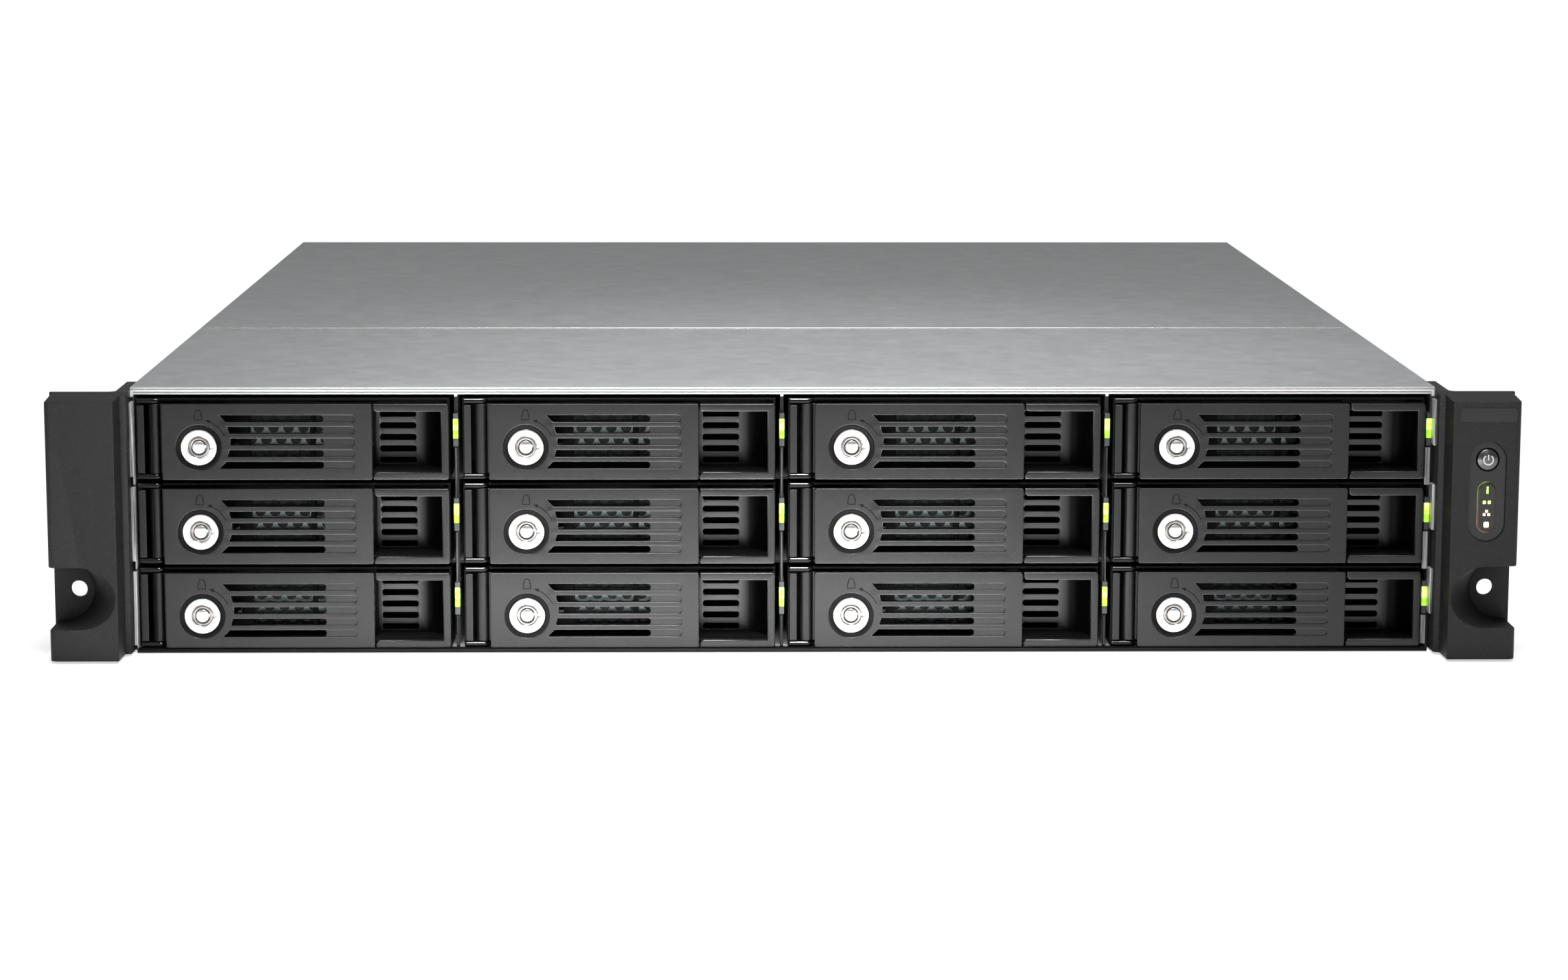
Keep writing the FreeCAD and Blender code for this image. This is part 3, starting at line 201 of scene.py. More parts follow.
def modify(item, set_ups):
    for kind, values in set_ups:
        modifier = item.modifiers.new(kind.title(), kind)
        for key, value in values.items():
            setattr(modifier, key, value)


def baked(mesh, *set_ups):
    """The mesh with modifiers applied."""
    holder = placed("holder", mesh)
    modify(holder, set_ups)
    depsgraph = bpy.context.evaluated_depsgraph_get()
    result = bpy.data.meshes.new_from_object(holder.evaluated_get(depsgraph))
    bpy.data.objects.remove(holder)
    return result


CRISP_ANGLE = 50
EVEN_NORMALS = ("WEIGHTED_NORMAL", {"keep_sharp": True, "weight": 100})


def smooth(mesh):
    """Smooth shading that keeps large faces flat and sharp edges crisp."""
    mesh.shade_smooth()
    mesh.set_sharp_from_angle(angle=math.radians(CRISP_ANGLE))
    return baked(mesh, EVEN_NORMALS)


def bevel(width, segments=2, angle=35):
    return ("BEVEL", {"width": width, "segments": segments, "limit_method": "ANGLE",
                      "angle_limit": math.radians(angle)})


def rounded(mesh, width, segments=2, angle=35):
    return smooth(baked(mesh, bevel(width, segments, angle)))


def carved(mesh, *cutters):
    """The mesh with other meshes cut out of it."""
    tools = [placed("tool", cutter) for cutter in cutters]
    set_ups = [("BOOLEAN", {"operation": "DIFFERENCE", "solver": "EXACT", "object": tool}) for tool in tools]
    result = baked(mesh, *set_ups)
    for tool in tools:
        bpy.data.objects.remove(tool)
    return result


def joined(*meshes):
    """One mesh made of several."""
    shape = bmesh.new()
    for mesh in meshes:
        shape.from_mesh(mesh)
    result = bpy.data.meshes.new("joined")
    shape.to_mesh(result)
    shape.free()
    return smooth(result)


def from_bmesh(shape):
    mesh = bpy.data.meshes.new("shape")
    bmesh.ops.recalc_face_normals(shape, faces=shape.faces)
    shape.to_mesh(mesh)
    shape.free()
    return mesh


def blocks(*spans):
    """Boxes, each given by its span on X, Y and Z."""
    shape = bmesh.new()
    for x, y, z in spans:
        centre = Vector((sum(x), sum(y), sum(z))) / 2
        size = Vector((x[1] - x[0], y[1] - y[0], z[1] - z[0]))
        matrix = Matrix.Translation(centre) @ Matrix.Diagonal((*size, 1))
        bmesh.ops.create_cube(shape, size=1, matrix=matrix)
    return from_bmesh(shape)


def area(points):
    pairs = zip(points, points[1:] + points[:1])
    return sum(x0 * z1 - x1 * z0 for (x0, z0), (x1, z1) in pairs) / 2


def within(point, points):
    """Whether a point lies inside an outline."""
    x, z = point
    inside = False
    for (x0, z0), (x1, z1) in zip(points, points[1:] + points[:1]):
        if (z0 > z) != (z1 > z) and x < x0 + (z - z0) / (z1 - z0) * (x1 - x0):
            inside = not inside
    return inside


def inset(points, distance):
    """The outline moved to its left by a distance."""
    result = []
    count = len(points)
    for i in range(count):
        here = Vector(points[i])
        before = (here - Vector(points[i - 1])).normalized()
        after = (Vector(points[(i + 1) % count]) - here).normalized()
        side = Vector((-before.y, before.x)) + Vector((-after.y, after.x))
        reach = distance * 2 / max(side.length_squared, 1.0)
        result.append((here.x + side.x * reach, here.y + side.y * reach))
    return result


def plate(outlines, y, edge=0.0):
    """Flat plate between two depths, with holes where outlines lie inside another, and eased edges."""
    rings = []
    for points in outlines:
        depth = sum(within(points[0], other) for other in outlines if other is not points)
        forward = (area(points) > 0) == (depth % 2 == 0)
        rings.append(points if forward else points[::-1])
    front, back = y
    levels = [(front, 0), (back, 0)]
    if edge:
        middle = edge * (1 - math.sqrt(0.5))
        levels = [(front, edge), (front + middle, middle), (front + edge, 0),
                  (back - edge, 0), (back - middle, middle), (back, edge)]
    shape = bmesh.new()
    caps = {0: [], len(levels) - 1: []}
    for ring in rings:
        rows = []
        for number, (depth, distance) in enumerate(levels):
            moved = inset(ring, distance)
            rows.append([shape.verts.new((x, depth, z)) for x, z in moved])
            if number in caps:
                caps[number].append((moved, rows[-1]))
        for first, second in zip(rows, rows[1:]):
            for i in range(len(ring)):
                shape.faces.new((first[i - 1], first[i], second[i], second[i - 1]))
    for groups in caps.values():
        corners = [Vector(point) for moved, made in groups for point in moved]
        made_corners = [vert for moved, made in groups for vert in made]
        edges = []
        start = 0
        for moved, made in groups:
            edges += [(start + i, start + (i + 1) % len(moved)) for i in range(len(moved))]
            start += len(moved)
        spots, _, faces, sources, _, _ = delaunay_2d_cdt(corners, edges, [], 1, 1e-9)
        for face in faces:
            middle = sum((spots[i] for i in face), Vector((0, 0))) / len(face)
            if sum(within(middle, moved) for moved, made in groups) % 2:
                shape.faces.new([made_corners[sources[i][0]] for i in face])
    return smooth(from_bmesh(shape))


def extruded(points, z):
    """Upright solid with a plan outline of (x, y) points."""
    shape = bmesh.new()
    face = shape.faces.new([shape.verts.new((x, y, z[0])) for x, y in points])
    top = bmesh.ops.extrude_face_region(shape, geom=[face])["geom"]
    moved = [item for item in top if isinstance(item, bmesh.types.BMVert)]
    bmesh.ops.translate(shape, verts=moved, vec=(0, 0, z[1] - z[0]))
    return from_bmesh(shape)


def lathe(profile, x, z):
    """Solid of revolution about a line along Y, from (radius, y) points."""
    shape = bmesh.new()
    ring = [shape.verts.new((x + radius, y, z)) for radius, y in profile]
    edges = [shape.edges.new(pair) for pair in zip(ring, ring[1:])]
    bmesh.ops.spin(shape, geom=ring + edges, cent=(x, 0, z), axis=(0, 1, 0), angle=2 * math.pi,
                   steps=ROUND_STEPS, use_merge=True)
    bmesh.ops.remove_doubles(shape, verts=shape.verts, dist=1e-7)
    return from_bmesh(shape)


def post(x, y, z, radius, steps=32):
    """Upright cylinder."""
    shape = bmesh.new()
    matrix = Matrix.Translation((x, y, sum(z) / 2))
    bmesh.ops.create_cone(shape, cap_ends=True, segments=steps, radius1=radius, radius2=radius,
                          depth=z[1] - z[0], matrix=matrix)
    return from_bmesh(shape)


# Materials

def feed(tree, socket, value):
    """Links an output to a socket, or sets the socket to a value."""
    if isinstance(value, bpy.types.NodeSocket):
        tree.links.new(value, socket)
    else:
        socket.default_value = (*value, 1) if socket.type == "RGBA" else value


def add_node(tree, kind, settings=None, **inputs):
    node = tree.nodes.new(kind)
    for key, value in (settings or {}).items():
        setattr(node, key, value)
    for key, value in inputs.items():
        feed(tree, node.inputs[key.replace("_", " ")], value)
    return node


class Surface:
    """A material and short ways to add nodes to it."""

    def __init__(self, name, colour, metallic=0.0, roughness=0.5, **sockets):
        self.material = bpy.data.materials.new(name)
        self.material.use_nodes = True
        self.tree = self.material.node_tree
        self.shader = self.tree.nodes["Principled BSDF"]
        sockets.update(Base_Color=colour, Metallic=metallic, Roughness=roughness)
        for key, value in sockets.items():
            self.link(value, key.replace("_", " "))
        self.place = self.add("ShaderNodeTexCoord").outputs["Object"]

    def add(self, kind, settings=None, **inputs):
        return add_node(self.tree, kind, settings, **inputs)

    def link(self, value, socket):
        feed(self.tree, self.shader.inputs[socket], value)

    def along(self, axis):
        """Place along an axis of the object."""
        return self.add("ShaderNodeSeparateXYZ", Vector=self.place).outputs[axis]

    def facing(self, axis):
        """How far the surface faces along an axis of the object."""
        normal = self.add("ShaderNodeTexCoord").outputs["Normal"]
        return self.add("ShaderNodeSeparateXYZ", Vector=normal).outputs[axis]

    def stretched(self, scale):
        return self.add("ShaderNodeMapping", Vector=self.place, Scale=scale).outputs["Vector"]

    def noise(self, scale, detail=3.0, vector=None):
        node = self.add("ShaderNodeTexNoise", Vector=vector or self.place, Scale=scale, Detail=detail)
        return node.outputs["Fac"]

    def ramp(self, fac, low, high, start=0.3, end=0.7):
        """Number between two values as the factor goes from start to end."""
        return self.add("ShaderNodeMapRange", Value=fac, From_Min=start, From_Max=end,
                        To_Min=low, To_Max=high).outputs["Result"]

    def math(self, operation, *values):
        """Result of an operation on outputs or numbers."""
        node = self.add("ShaderNodeMath", {"operation": operation})
        for socket, value in zip(node.inputs, values):
            feed(self.tree, socket, value)
        return node.outputs[0]

    def blend(self, fac, first, second):
        """Colour between two colours."""
        node = self.add("ShaderNodeMix", {"data_type": "RGBA"})
        for number, value in ((0, fac), (6, first), (7, second)):
            feed(self.tree, node.inputs[number], value)
        return node.outputs[2]

    def tint(self, fac, first, second, start=0.3, end=0.7, socket="Base Color"):
        """Gives a socket a colour that changes as the factor goes from start to end."""
        self.link(self.blend(self.ramp(fac, 0.0, 1.0, start, end), first, second), socket)

    def bump(self, height, strength, distance):
        node = self.add("ShaderNodeBump", Height=height, Strength=strength, Distance=distance)
        self.link(node.outputs["Normal"], "Normal")


def grey(level):
    return (level, level, level)


FINE_GRAIN = 0.08 * MM
SHADED_EDGE = grey(0.006)


def zinc_sheet(name, dark, light, edge, edge_axes, painted_shade_below=-1.0):
    """Zinc plated sheet: a faint grain along X, soft mottle, bright cut edges, and painted shade on the edges
    below a given height.
    """
    surface = Surface(name, dark, metallic=0.5, roughness=0.42)
    grain = surface.noise(1.0, 5.0, surface.stretched((110, 1500, 1500)))
    mixed = surface.math("ADD", grain, surface.noise(130.0, 4.0))
    plain = surface.blend(surface.ramp(mixed, 0.0, 1.0, 0.75, 1.3), dark, light)
    turned = [surface.math("ABSOLUTE", surface.facing(axis)) for axis in edge_axes]
    most = turned[0]
    for other in turned[1:]:
        most = surface.math("MAXIMUM", most, other)
    # Painted shade: edges below the given height take a dark colour in place of the bright edge colour.
    height = surface.ramp(surface.along("Z"), 0.0, 1.0, painted_shade_below - 0.5 * MM, painted_shade_below)
    edge = surface.blend(height, SHADED_EDGE, edge)
    surface.tint(most, plain, edge, 0.35, 0.75)
    surface.link(surface.ramp(grain, 0.38, 0.46), "Roughness")
    surface.bump(grain, 0.12, 0.05 * MM)
    return surface.material


def moulded(name, colour, shade, roughness, grain, strength, sheen=0.45):
    """Moulded plastic with a fine spark-eroded grain."""
    surface = Surface(name, colour, roughness=roughness, Specular_IOR_Level=sheen)
    fine = surface.noise(grain)
    surface.tint(surface.noise(70.0), colour, shade)
    surface.link(surface.ramp(fine, roughness - 0.05, roughness + 0.07), "Roughness")
    surface.bump(fine, strength, FINE_GRAIN)
    return surface.material


def satin_paint(name, colour, shade, edge):
    """Satin dark paint, with a painted highlight along the edges that face down."""
    surface = Surface(name, colour, roughness=0.28, Specular_IOR_Level=0.42)
    fine = surface.noise(5200.0)
    plain = surface.blend(surface.ramp(surface.noise(70.0), 0.0, 1.0), colour, shade)
    # Painted highlight: edges that face down take a lighter colour.
    down_edge_highlight = surface.ramp(surface.facing("Z"), 1.0, 0.0, -0.75, -0.25)
    surface.link(surface.blend(down_edge_highlight, plain, edge), "Base Color")
    surface.link(surface.ramp(fine, 0.24, 0.34), "Roughness")
    surface.bump(fine, 0.1, FINE_GRAIN)
    return surface.material


def leather_grain(name, colour, shade):
    """Moulded black plastic with a pebbled texture, with painted shade that cuts its gloss in hollows and on
    the sides that face along X.
    """
    surface = Surface(name, colour, roughness=0.45, Specular_IOR_Level=0.42)
    pebble = surface.add("ShaderNodeTexVoronoi", {"feature": "SMOOTH_F1"}, Vector=surface.place,
                         Scale=3400.0, Smoothness=0.6).outputs["Distance"]
    patch = surface.noise(2600.0, 2.0)
    surface.tint(patch, colour, shade)
    surface.link(surface.ramp(patch, 0.38, 0.52), "Roughness")
    # Painted shade: gloss falls where the surface is closed in, and on sides that face along X.
    open_to_light = surface.add("ShaderNodeAmbientOcclusion", {"samples": 8}, Distance=0.014).outputs["AO"]
    gloss = surface.ramp(open_to_light, 0.06, 0.32, 0.25, 0.8)
    front = surface.ramp(surface.math("ABSOLUTE", surface.facing("X")), 1.0, 0.3, 0.5, 0.9)
    surface.link(surface.math("MULTIPLY", gloss, front), "Specular IOR Level")
    surface.bump(surface.math("MULTIPLY_ADD", patch, 0.7, pebble), 0.8, 0.2 * MM)
    return surface.material


def polished(name, colour, roughness, scratch=2400.0):
    """Plated metal with faint turning marks."""
    surface = Surface(name, colour, metallic=1.0, roughness=roughness)
    marks = surface.noise(scratch, 2.0)
    surface.tint(marks, colour, [0.86 * part for part in colour])
    surface.link(surface.ramp(marks, roughness * 0.8, roughness * 1.5), "Roughness")
    return surface.material


def streaked(name, bright, dull, roughness, sheen=0.5):
    """Bare sheet edge whose upright bright and dull streaks are a painted reflection."""
    surface = Surface(name, bright, metallic=0.3, roughness=roughness, Specular_IOR_Level=sheen)
    streak = surface.noise(1.0, 4.0, surface.stretched((1900, 1900, 45)))
    # Painted reflection: upright bright and dull streaks in the colour.
    surface.tint(streak, bright, dull, 0.4, 0.62)
    surface.link(surface.ramp(streak, roughness, roughness * 1.8), "Roughness")
    return surface.material


def lit(name, colour, core, strength):
    """Plastic that a lamp shines through, brighter in the middle."""
    surface = Surface(name, colour, roughness=0.25, Emission_Strength=strength)
    surface.tint(surface.noise(520.0, 1.0), colour, core, 0.35, 0.6, "Emission Color")
    return surface.material


def faded(surface, fade, colour, shade, gloss):
    """Turns a glossy colour into a painted shade without gloss as a factor rises."""
    surface.link(surface.blend(fade, colour, shade), "Base Color")
    surface.link(surface.ramp(fade, gloss, 0.05, 0.0, 1.0), "Specular IOR Level")


def hollow_painted_shade(name, colour, shade):
    """Satin dark paint of the finger recess, with painted shade that turns it black to the right and below.
    """
    surface = Surface(name, colour, roughness=0.32)
    height = LEVER_HIGH.z - LEVER_LOW.z
    # Painted shade: the recess goes black towards its bottom and to the right of the slots.
    low = surface.ramp(surface.along("Z"), 1.0, 0.0, LEVER_LOW.z + 0.1 * height, LEVER_LOW.z + 0.36 * height)
    right = surface.ramp(surface.along("X"), 0.0, 1.0, *off(RECESS_SLOT_RIGHT, -0.2, 3.6))
    faded(surface, surface.math("MAXIMUM", low, right), colour, shade, 0.66)
    surface.bump(surface.noise(4200.0), 0.06, FINE_GRAIN)
    return surface.material


def hinge_painted_shade(name, colour, shade):
    """Satin grey plastic of the hinge, with painted shade that turns black the side that faces the lever."""
    surface = Surface(name, colour, roughness=0.34)
    # Painted shade on the side that faces along +X, towards the lever.
    faded(surface, surface.ramp(surface.facing("X"), 0.0, 1.0, 0.1, 0.8), colour, shade, 0.36)
    surface.bump(surface.noise(5200.0), 0.05, FINE_GRAIN)
    return surface.material


def painted_edge_highlight(name, colour):
    """Glossy black plastic with a painted highlight: surfaces that face up reflect more, brightest along the
    upper edges.
    """
    surface = Surface(name, colour, roughness=0.1)
    # Painted highlight: gloss rises on surfaces that face up.
    surface.link(surface.ramp(surface.facing("Z"), 0.2, 1.0, 0.3, 0.55), "Specular IOR Level")
    surface.bump(surface.noise(4200.0), 0.01, FINE_GRAIN)
    return surface.material


def rim_painted_glow(name, colour, top, bottom, levels, sides):
    """Gloss black rim with a painted glow in the colour of the signs beside it, mostly at its left."""
    surface = Surface(name, colour, roughness=0.12)
    # Painted glow: the rim emits the signs' colours, more at its left.
    surface.tint(surface.along("Z"), bottom, top, *levels, "Emission Color")
    surface.link(surface.ramp(surface.along("X"), 0.5, 0.04, *sides), "Emission Strength")
    return surface.material


def perforated_steel(name, colour, shade):
    """Grey sheet with a painted band of light across its middle and painted shade above and below."""
    surface = Surface(name, colour, metallic=1.0, roughness=0.16)
    level = surface.along("Z")
    low, high = GRILLE_PAINTED_LIGHT
    soft = 0.4 * MM
    # Painted light in a band across the middle, painted shade above and below.
    above = surface.ramp(level, 0.0, 1.0, *around(low, soft))
    below = surface.ramp(level, 1.0, 0.0, *around(high, soft))
    surface.link(surface.blend(surface.math("MINIMUM", above, below), shade, colour), "Base Color")
    return surface.material


def board_surface(name, colour, shade):
    """Circuit board with fine traces."""
    surface = Surface(name, colour, roughness=0.4)
    traces = surface.add("ShaderNodeTexBrick", Vector=surface.place, Scale=140.0, Color1=colour,
                         Color2=shade, Mortar=shade, Mortar_Size=0.012)
    surface.link(traces.outputs["Color"], "Base Color")
    surface.bump(traces.outputs["Fac"], 0.2, 0.04 * MM)
    return surface.material


CASE_ZINC = ((0.3, 0.31, 0.31), (0.42, 0.43, 0.43))
COVER_ZINC = ((0.36, 0.372, 0.378), (0.46, 0.474, 0.48))
REAR_COVER_ZINC = ((0.35, 0.36, 0.366), (0.44, 0.452, 0.458))
# Height below which the case's edges get painted shade.
TOP_LIP_LOW = 0.0852
# Heights where the rim's painted glow turns from amber to green, and places along X where it fades.
RIM_TURN = ((0.049, 0.054), (0.2285, 0.2305))

MATERIALS = {
    "cover": zinc_sheet("cover_zinc", *COVER_ZINC, grey(0.6), ("X", "Y")),
    "rear_cover": zinc_sheet("rear_zinc", *REAR_COVER_ZINC, grey(0.86), ("X", "Y")),
    "sheet": zinc_sheet("sheet_zinc", *CASE_ZINC, grey(0.8), ("Y",)),
    "case": zinc_sheet("case_zinc", *CASE_ZINC, grey(0.85), ("Y",), TOP_LIP_LOW),
    "ear": leather_grain("ear_black", grey(0.008), grey(0.014)),
    "bracket": leather_grain("bracket_black", (0.011, 0.011, 0.012), (0.017, 0.017, 0.018)),
    "lever": satin_paint("lever_grey", (0.004, 0.004, 0.0045), (0.006, 0.006, 0.0065), grey(0.2)),
    "hinge": hinge_painted_shade("hinge_grey", (0.007, 0.007, 0.0075), grey(0.002)),
    "recess": hollow_painted_shade("recess_grey", (0.016, 0.016, 0.0165), grey(0.002)),
    "shade": moulded("recess_black", grey(0.003), grey(0.005), 0.4, 4200.0, 0.05, 0.1),
    "gloss": moulded("gloss_black", grey(0.002), grey(0.003), 0.08, 4200.0, 0.01, 0.2),
    "bezel": moulded("bezel_black", (0.014, 0.014, 0.015), (0.019, 0.019, 0.02), 0.36, 4200.0, 0.06),
    "chrome": polished("lock_chrome", grey(1.0), 0.1),
    # Keyway steel, darkened in part as painted shade of the groove.
    "shaded_steel": polished("keyway_steel", (0.3, 0.28, 0.26), 0.16),
    "button": polished("button_steel", (0.13, 0.13, 0.135), 0.24),
    "steel": polished("bare_steel", (0.62, 0.62, 0.6), 0.25),
    "grille": perforated_steel("grille_steel", (0.09, 0.11, 0.11), (0.009, 0.011, 0.011)),
    "trim": streaked("bare_edge", (0.52, 0.52, 0.51), (0.05, 0.05, 0.055), 0.25),
    "divider": streaked("divider_edge", grey(0.1), (0.012, 0.012, 0.013), 0.4, 0.12),
    # Painted shade: near-black with no gloss, for the slots behind the recess.
    "slot_shade": moulded("slot_shade_black", grey(0.0008), grey(0.0012), 0.6, 4200.0, 0.05, 0.0),
    "lug": painted_edge_highlight("lug_black", grey(0.002)),
    "satin": streaked("satin_edge", (0.42, 0.43, 0.44), (0.2, 0.2, 0.21), 0.35),
    "void": moulded("cast_black", grey(0.004), grey(0.007), 0.5, 2400.0, 0.05),
    "lit": lit("pipe_lit", (0.42, 0.95, 0.03), (0.85, 1.0, 0.42), 1.25),
    "dim": lit("pipe_dim", (0.2, 0.62, 0.01), (0.5, 0.92, 0.06), 1.0),
    "holder": moulded("pipe_holder", (0.03, 0.035, 0.032), (0.045, 0.05, 0.048), 0.3, 3000.0, 0.05),
    "lens": moulded("lens_smoke", (0.012, 0.011, 0.01), (0.02, 0.017, 0.014), 0.12, 2600.0, 0.02),
    "green_icon": lit("icon_green", (0.45, 0.95, 0.1), (0.85, 1.0, 0.5), 1.1),
    "amber_icon": lit("icon_amber", (1.0, 0.62, 0.3), (1.0, 0.9, 0.72), 1.1),
    "rim": rim_painted_glow("lens_rim", grey(0.006), (0.3, 0.55, 0.02), (0.6, 0.25, 0.08), *RIM_TURN),
    "white": moulded("sign_white", grey(0.72), grey(0.8), 0.3, 3000.0, 0.03),
    "badge": moulded("badge_black", (0.008, 0.006, 0.006), (0.011, 0.009, 0.009), 0.18, 3000.0, 0.02),
    "drive": polished("drive_casting", (0.5, 0.51, 0.52), 0.36, 900.0),
    "board": board_surface("circuit_board", (0.012, 0.09, 0.035), (0.02, 0.15, 0.06)),
    "aluminium": polished("sink_aluminium", (0.74, 0.75, 0.76), 0.3, 1500.0),
    "fan": moulded("fan_black", grey(0.012), grey(0.02), 0.4, 3600.0, 0.08),
    "latch": moulded("latch_green", (0.03, 0.22, 0.05), (0.04, 0.28, 0.07), 0.35, 3600.0, 0.06),
}


# Pieces

def piece(name, mesh, material, body, stands_for=(), at=(0, 0, 0)):
    """A named piece that rides on a body. Meshes of repeated pieces are shared."""
    item = placed(name, mesh)
    item.location = at
    if not mesh.materials:
        mesh.materials.append(MATERIALS[material])
    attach(item, body)
    if stands_for:
        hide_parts(*stands_for)


def dress(node, material, edge, segments):
    """Finish of a node that keeps its own shape, with its sharp edges eased."""
    item = frame["nodes"][node]
    item.data.materials.clear()
    item.data.materials.append(MATERIALS[material])
    item.data.shade_smooth()
    modify(item, (bevel(edge, segments), EVEN_NORMALS))


def lever_slot(index, right):
    start_inner, start_outer = SLOT_STARTS[abs(index)]
    low_start, high_start = (start_inner, start_outer) if index > 0 else (start_outer, start_inner)
    middle = LEVER_MID + index * SLOT_PITCH
    half = SLOT_HEIGHT / 2
    return [(LOCK.x + low_start * MM, middle - half),
            *arc(right - half, middle, half, -90, 90),
            (LOCK.x + high_start * MM, middle + half)]


def lever_slots(right):
    reach = SLOT_COUNT // 2
    return [lever_slot(index, right) for index in range(-reach, reach + 1)]


def make_padlock():
    """Outline of a closed padlock, with no line between its body and its shackle."""
    left, right = around(LOCK.x, PADLOCK_WIDTH / 2)
    top = PADLOCK_LOW + PADLOCK_HEIGHT
    outside = [
        (left, PADLOCK_LOW), (right, PADLOCK_LOW), (right, top), (LOCK.x + SHACKLE_RADIUS, top),
        *arc(LOCK.x, top + SHACKLE_RISE, SHACKLE_RADIUS, 0, 180, 14),
        (LOCK.x - SHACKLE_RADIUS, top), (left, top)]
    return plate([outside, inset(outside, LINE)], SIGN_DEPTH)


def make_arrow():
    """Curved arrow from beside the lock up to the padlock."""
    start, foot, tip = 25, 66, 76

    def run(offset, first, last, steps=10):
        return arc(LOCK.x, LOCK.z, ARROW_RADIUS + offset, first, last, steps)

    def spot(offset, angle):
        return run(offset * MM, angle, angle, 1)[0]

    outline = [*run(LINE / 2, start, foot), spot(0.7, foot), spot(0.1, tip), spot(-0.55, foot),
               *run(-LINE / 2, foot, start)]
    return plate([outline], SIGN_DEPTH)


def make_lever():
    outline = rounded_rectangle((PANEL_LEFT, PANEL_RIGHT), (LEVER_LOW.z, LEVER_HIGH.z), 0.5 * MM, 3)
    hole = circle(LOCK.x, LOCK.z, RING_RADIUS)
    face = plate([outline, hole, *lever_slots(SLOT_END)], (0, FACE_DEPTH + FACE_OVERLAP), EDGE)
    seat = circle(LOCK.x, LOCK.z, LOCK_RADIUS + 0.35 * MM)
    back = plate([outline, seat, *lever_slots(SLOT_THROUGH)], (FACE_DEPTH, LEVER_THICK), EDGE)
    return joined(face, back)


def make_knuckle():
    """Round post on the hinge pin, the web that joins it to the lever, and the catch at the far end."""
    knuckle = rounded(post(HINGE.x, HINGE.y, (KNUCKLE_LOW, KNUCKLE_HIGH), KNUCKLE_RADIUS), 0.25 * MM)
    behind = LEVER_THICK - 0.2 * MM
    arm = rounded(blocks(
        (off(HINGE.x, 0, 7.5), (behind, LEVER_THICK + 2 * MM), (KNUCKLE_LOW, KNUCKLE_HIGH)),
        (off(PANEL_RIGHT, -6, -2), (behind, LEVER_HIGH.y), off(LEVER_MID, -4, 4))), 0.25 * MM)
    return joined(knuckle, arm)


def make_ring():
    """Black collar between the lever and the lock, partly its own black and partly painted shade of the hole
    round the lock.
    """
    inner = LOCK_FACE_RADIUS + 0.08 * MM
    outer = RING_RADIUS - 0.05 * MM
    rear = FACE_DEPTH + 0.3 * MM
    profile = [(inner, rear), (inner, 0.45 * MM), (inner + 0.5 * MM, 0.3 * MM),
               (outer - 0.35 * MM, 0.1 * MM), (outer - 0.1 * MM, 0.2 * MM), (outer, rear)]
    return smooth(lathe(profile + profile[:1], LOCK.x, LOCK.z))


def make_lock():
    """Face of the tubular lock: a plated disc with a round keyway and a notch beside it."""
    front = LOCK_LOW.y - 0.25 * MM
    floor = front + 2.6 * MM
    inner, outer = KEYWAY
    edge = LOCK_FACE_RADIUS
    rear = floor + 0.4 * MM
    core = front + 0.2 * MM
    profile = [
        (0, core), (inner - 0.4 * MM, core), (inner - 0.1 * MM, front + 0.65 * MM),
        (inner, floor), (outer, floor), (outer + 0.1 * MM, front + 0.4 * MM),
        (outer + 0.4 * MM, front + 0.1 * MM), (edge - 0.6 * MM, front),
        (edge - 0.2 * MM, front + 0.1 * MM), (edge, front + 0.4 * MM), (edge, rear), (0, rear)]
    notch = blocks((off(LOCK.x, 1.9, 4.6), off(front, -1, 1.6), off(LOCK.z, -0.6, 0.6)))
    return smooth(baked(carved(lathe(profile, LOCK.x, LOCK.z), notch), bevel(0.06 * MM, 2, 40)))


def make_keyway():
    """Grey floor of the lock's round keyway, darker than the face partly as its own steel and partly as
    painted shade of the groove.
    """
    front = LOCK_LOW.y + 0.35 * MM
    back = front + 1.9 * MM
    inner, outer = KEYWAY
    middle = (inner + outer) / 2
    near = inner + 0.05 * MM
    far = outer - 0.05 * MM
    level = front + 0.2 * MM
    profile = [(near, back), (near, level), (middle, front), (far, level), (far, back)]
    return smooth(lathe(profile + profile[:1], LOCK.x, LOCK.z))


def make_barrel():
    """Barrel of the lock behind its face, and the cam at its rear end."""
    front = LOCK_LOW.y + 2.8 * MM
    rear = LOCK_HIGH.y - 1.5 * MM
    eased = 0.3 * MM
    profile = [(0, front), (LOCK_RADIUS - eased, front), (LOCK_RADIUS, front + eased),
               (LOCK_RADIUS, rear), (0, rear)]
    cam = blocks(((LOCK.x - 2.5 * MM, LOCK_HIGH.x), (rear - 0.1 * MM, LOCK_HIGH.y), off(LOCK.z, -2.5, 2.5)))
    return joined(smooth(lathe(profile, LOCK.x, LOCK.z)), rounded(cam, 0.4 * MM))


def make_pull_frame():
    """Open frame round the finger recess, with rounded ends on its two bars."""
    low = LEVER_LOW.z
    high = LEVER_HIGH.z
    inner = PULL_RIGHT - PULL_BAR
    tip = 1.2 * MM
    corner = 0.8 * MM
    outline = [
        *arc(PULL_RIGHT - corner, low + corner, corner, -90, 0, 4),
        *arc(PULL_RIGHT - corner, high - corner, corner, 0, 90, 4),
        (PULL_LEFT, high),
        *arc(PULL_LEFT + tip, high - PULL_BAR + tip, tip, 180, 270, 5),
        (inner, high - PULL_BAR),
        (inner, low + PULL_BAR),
        *arc(PULL_LEFT + tip, low + PULL_BAR - tip, tip, 90, 180, 5),
        (PULL_LEFT, low)]
    return plate([outline], (0, PULL_DEPTH + 1.5 * MM), 0.35 * MM)


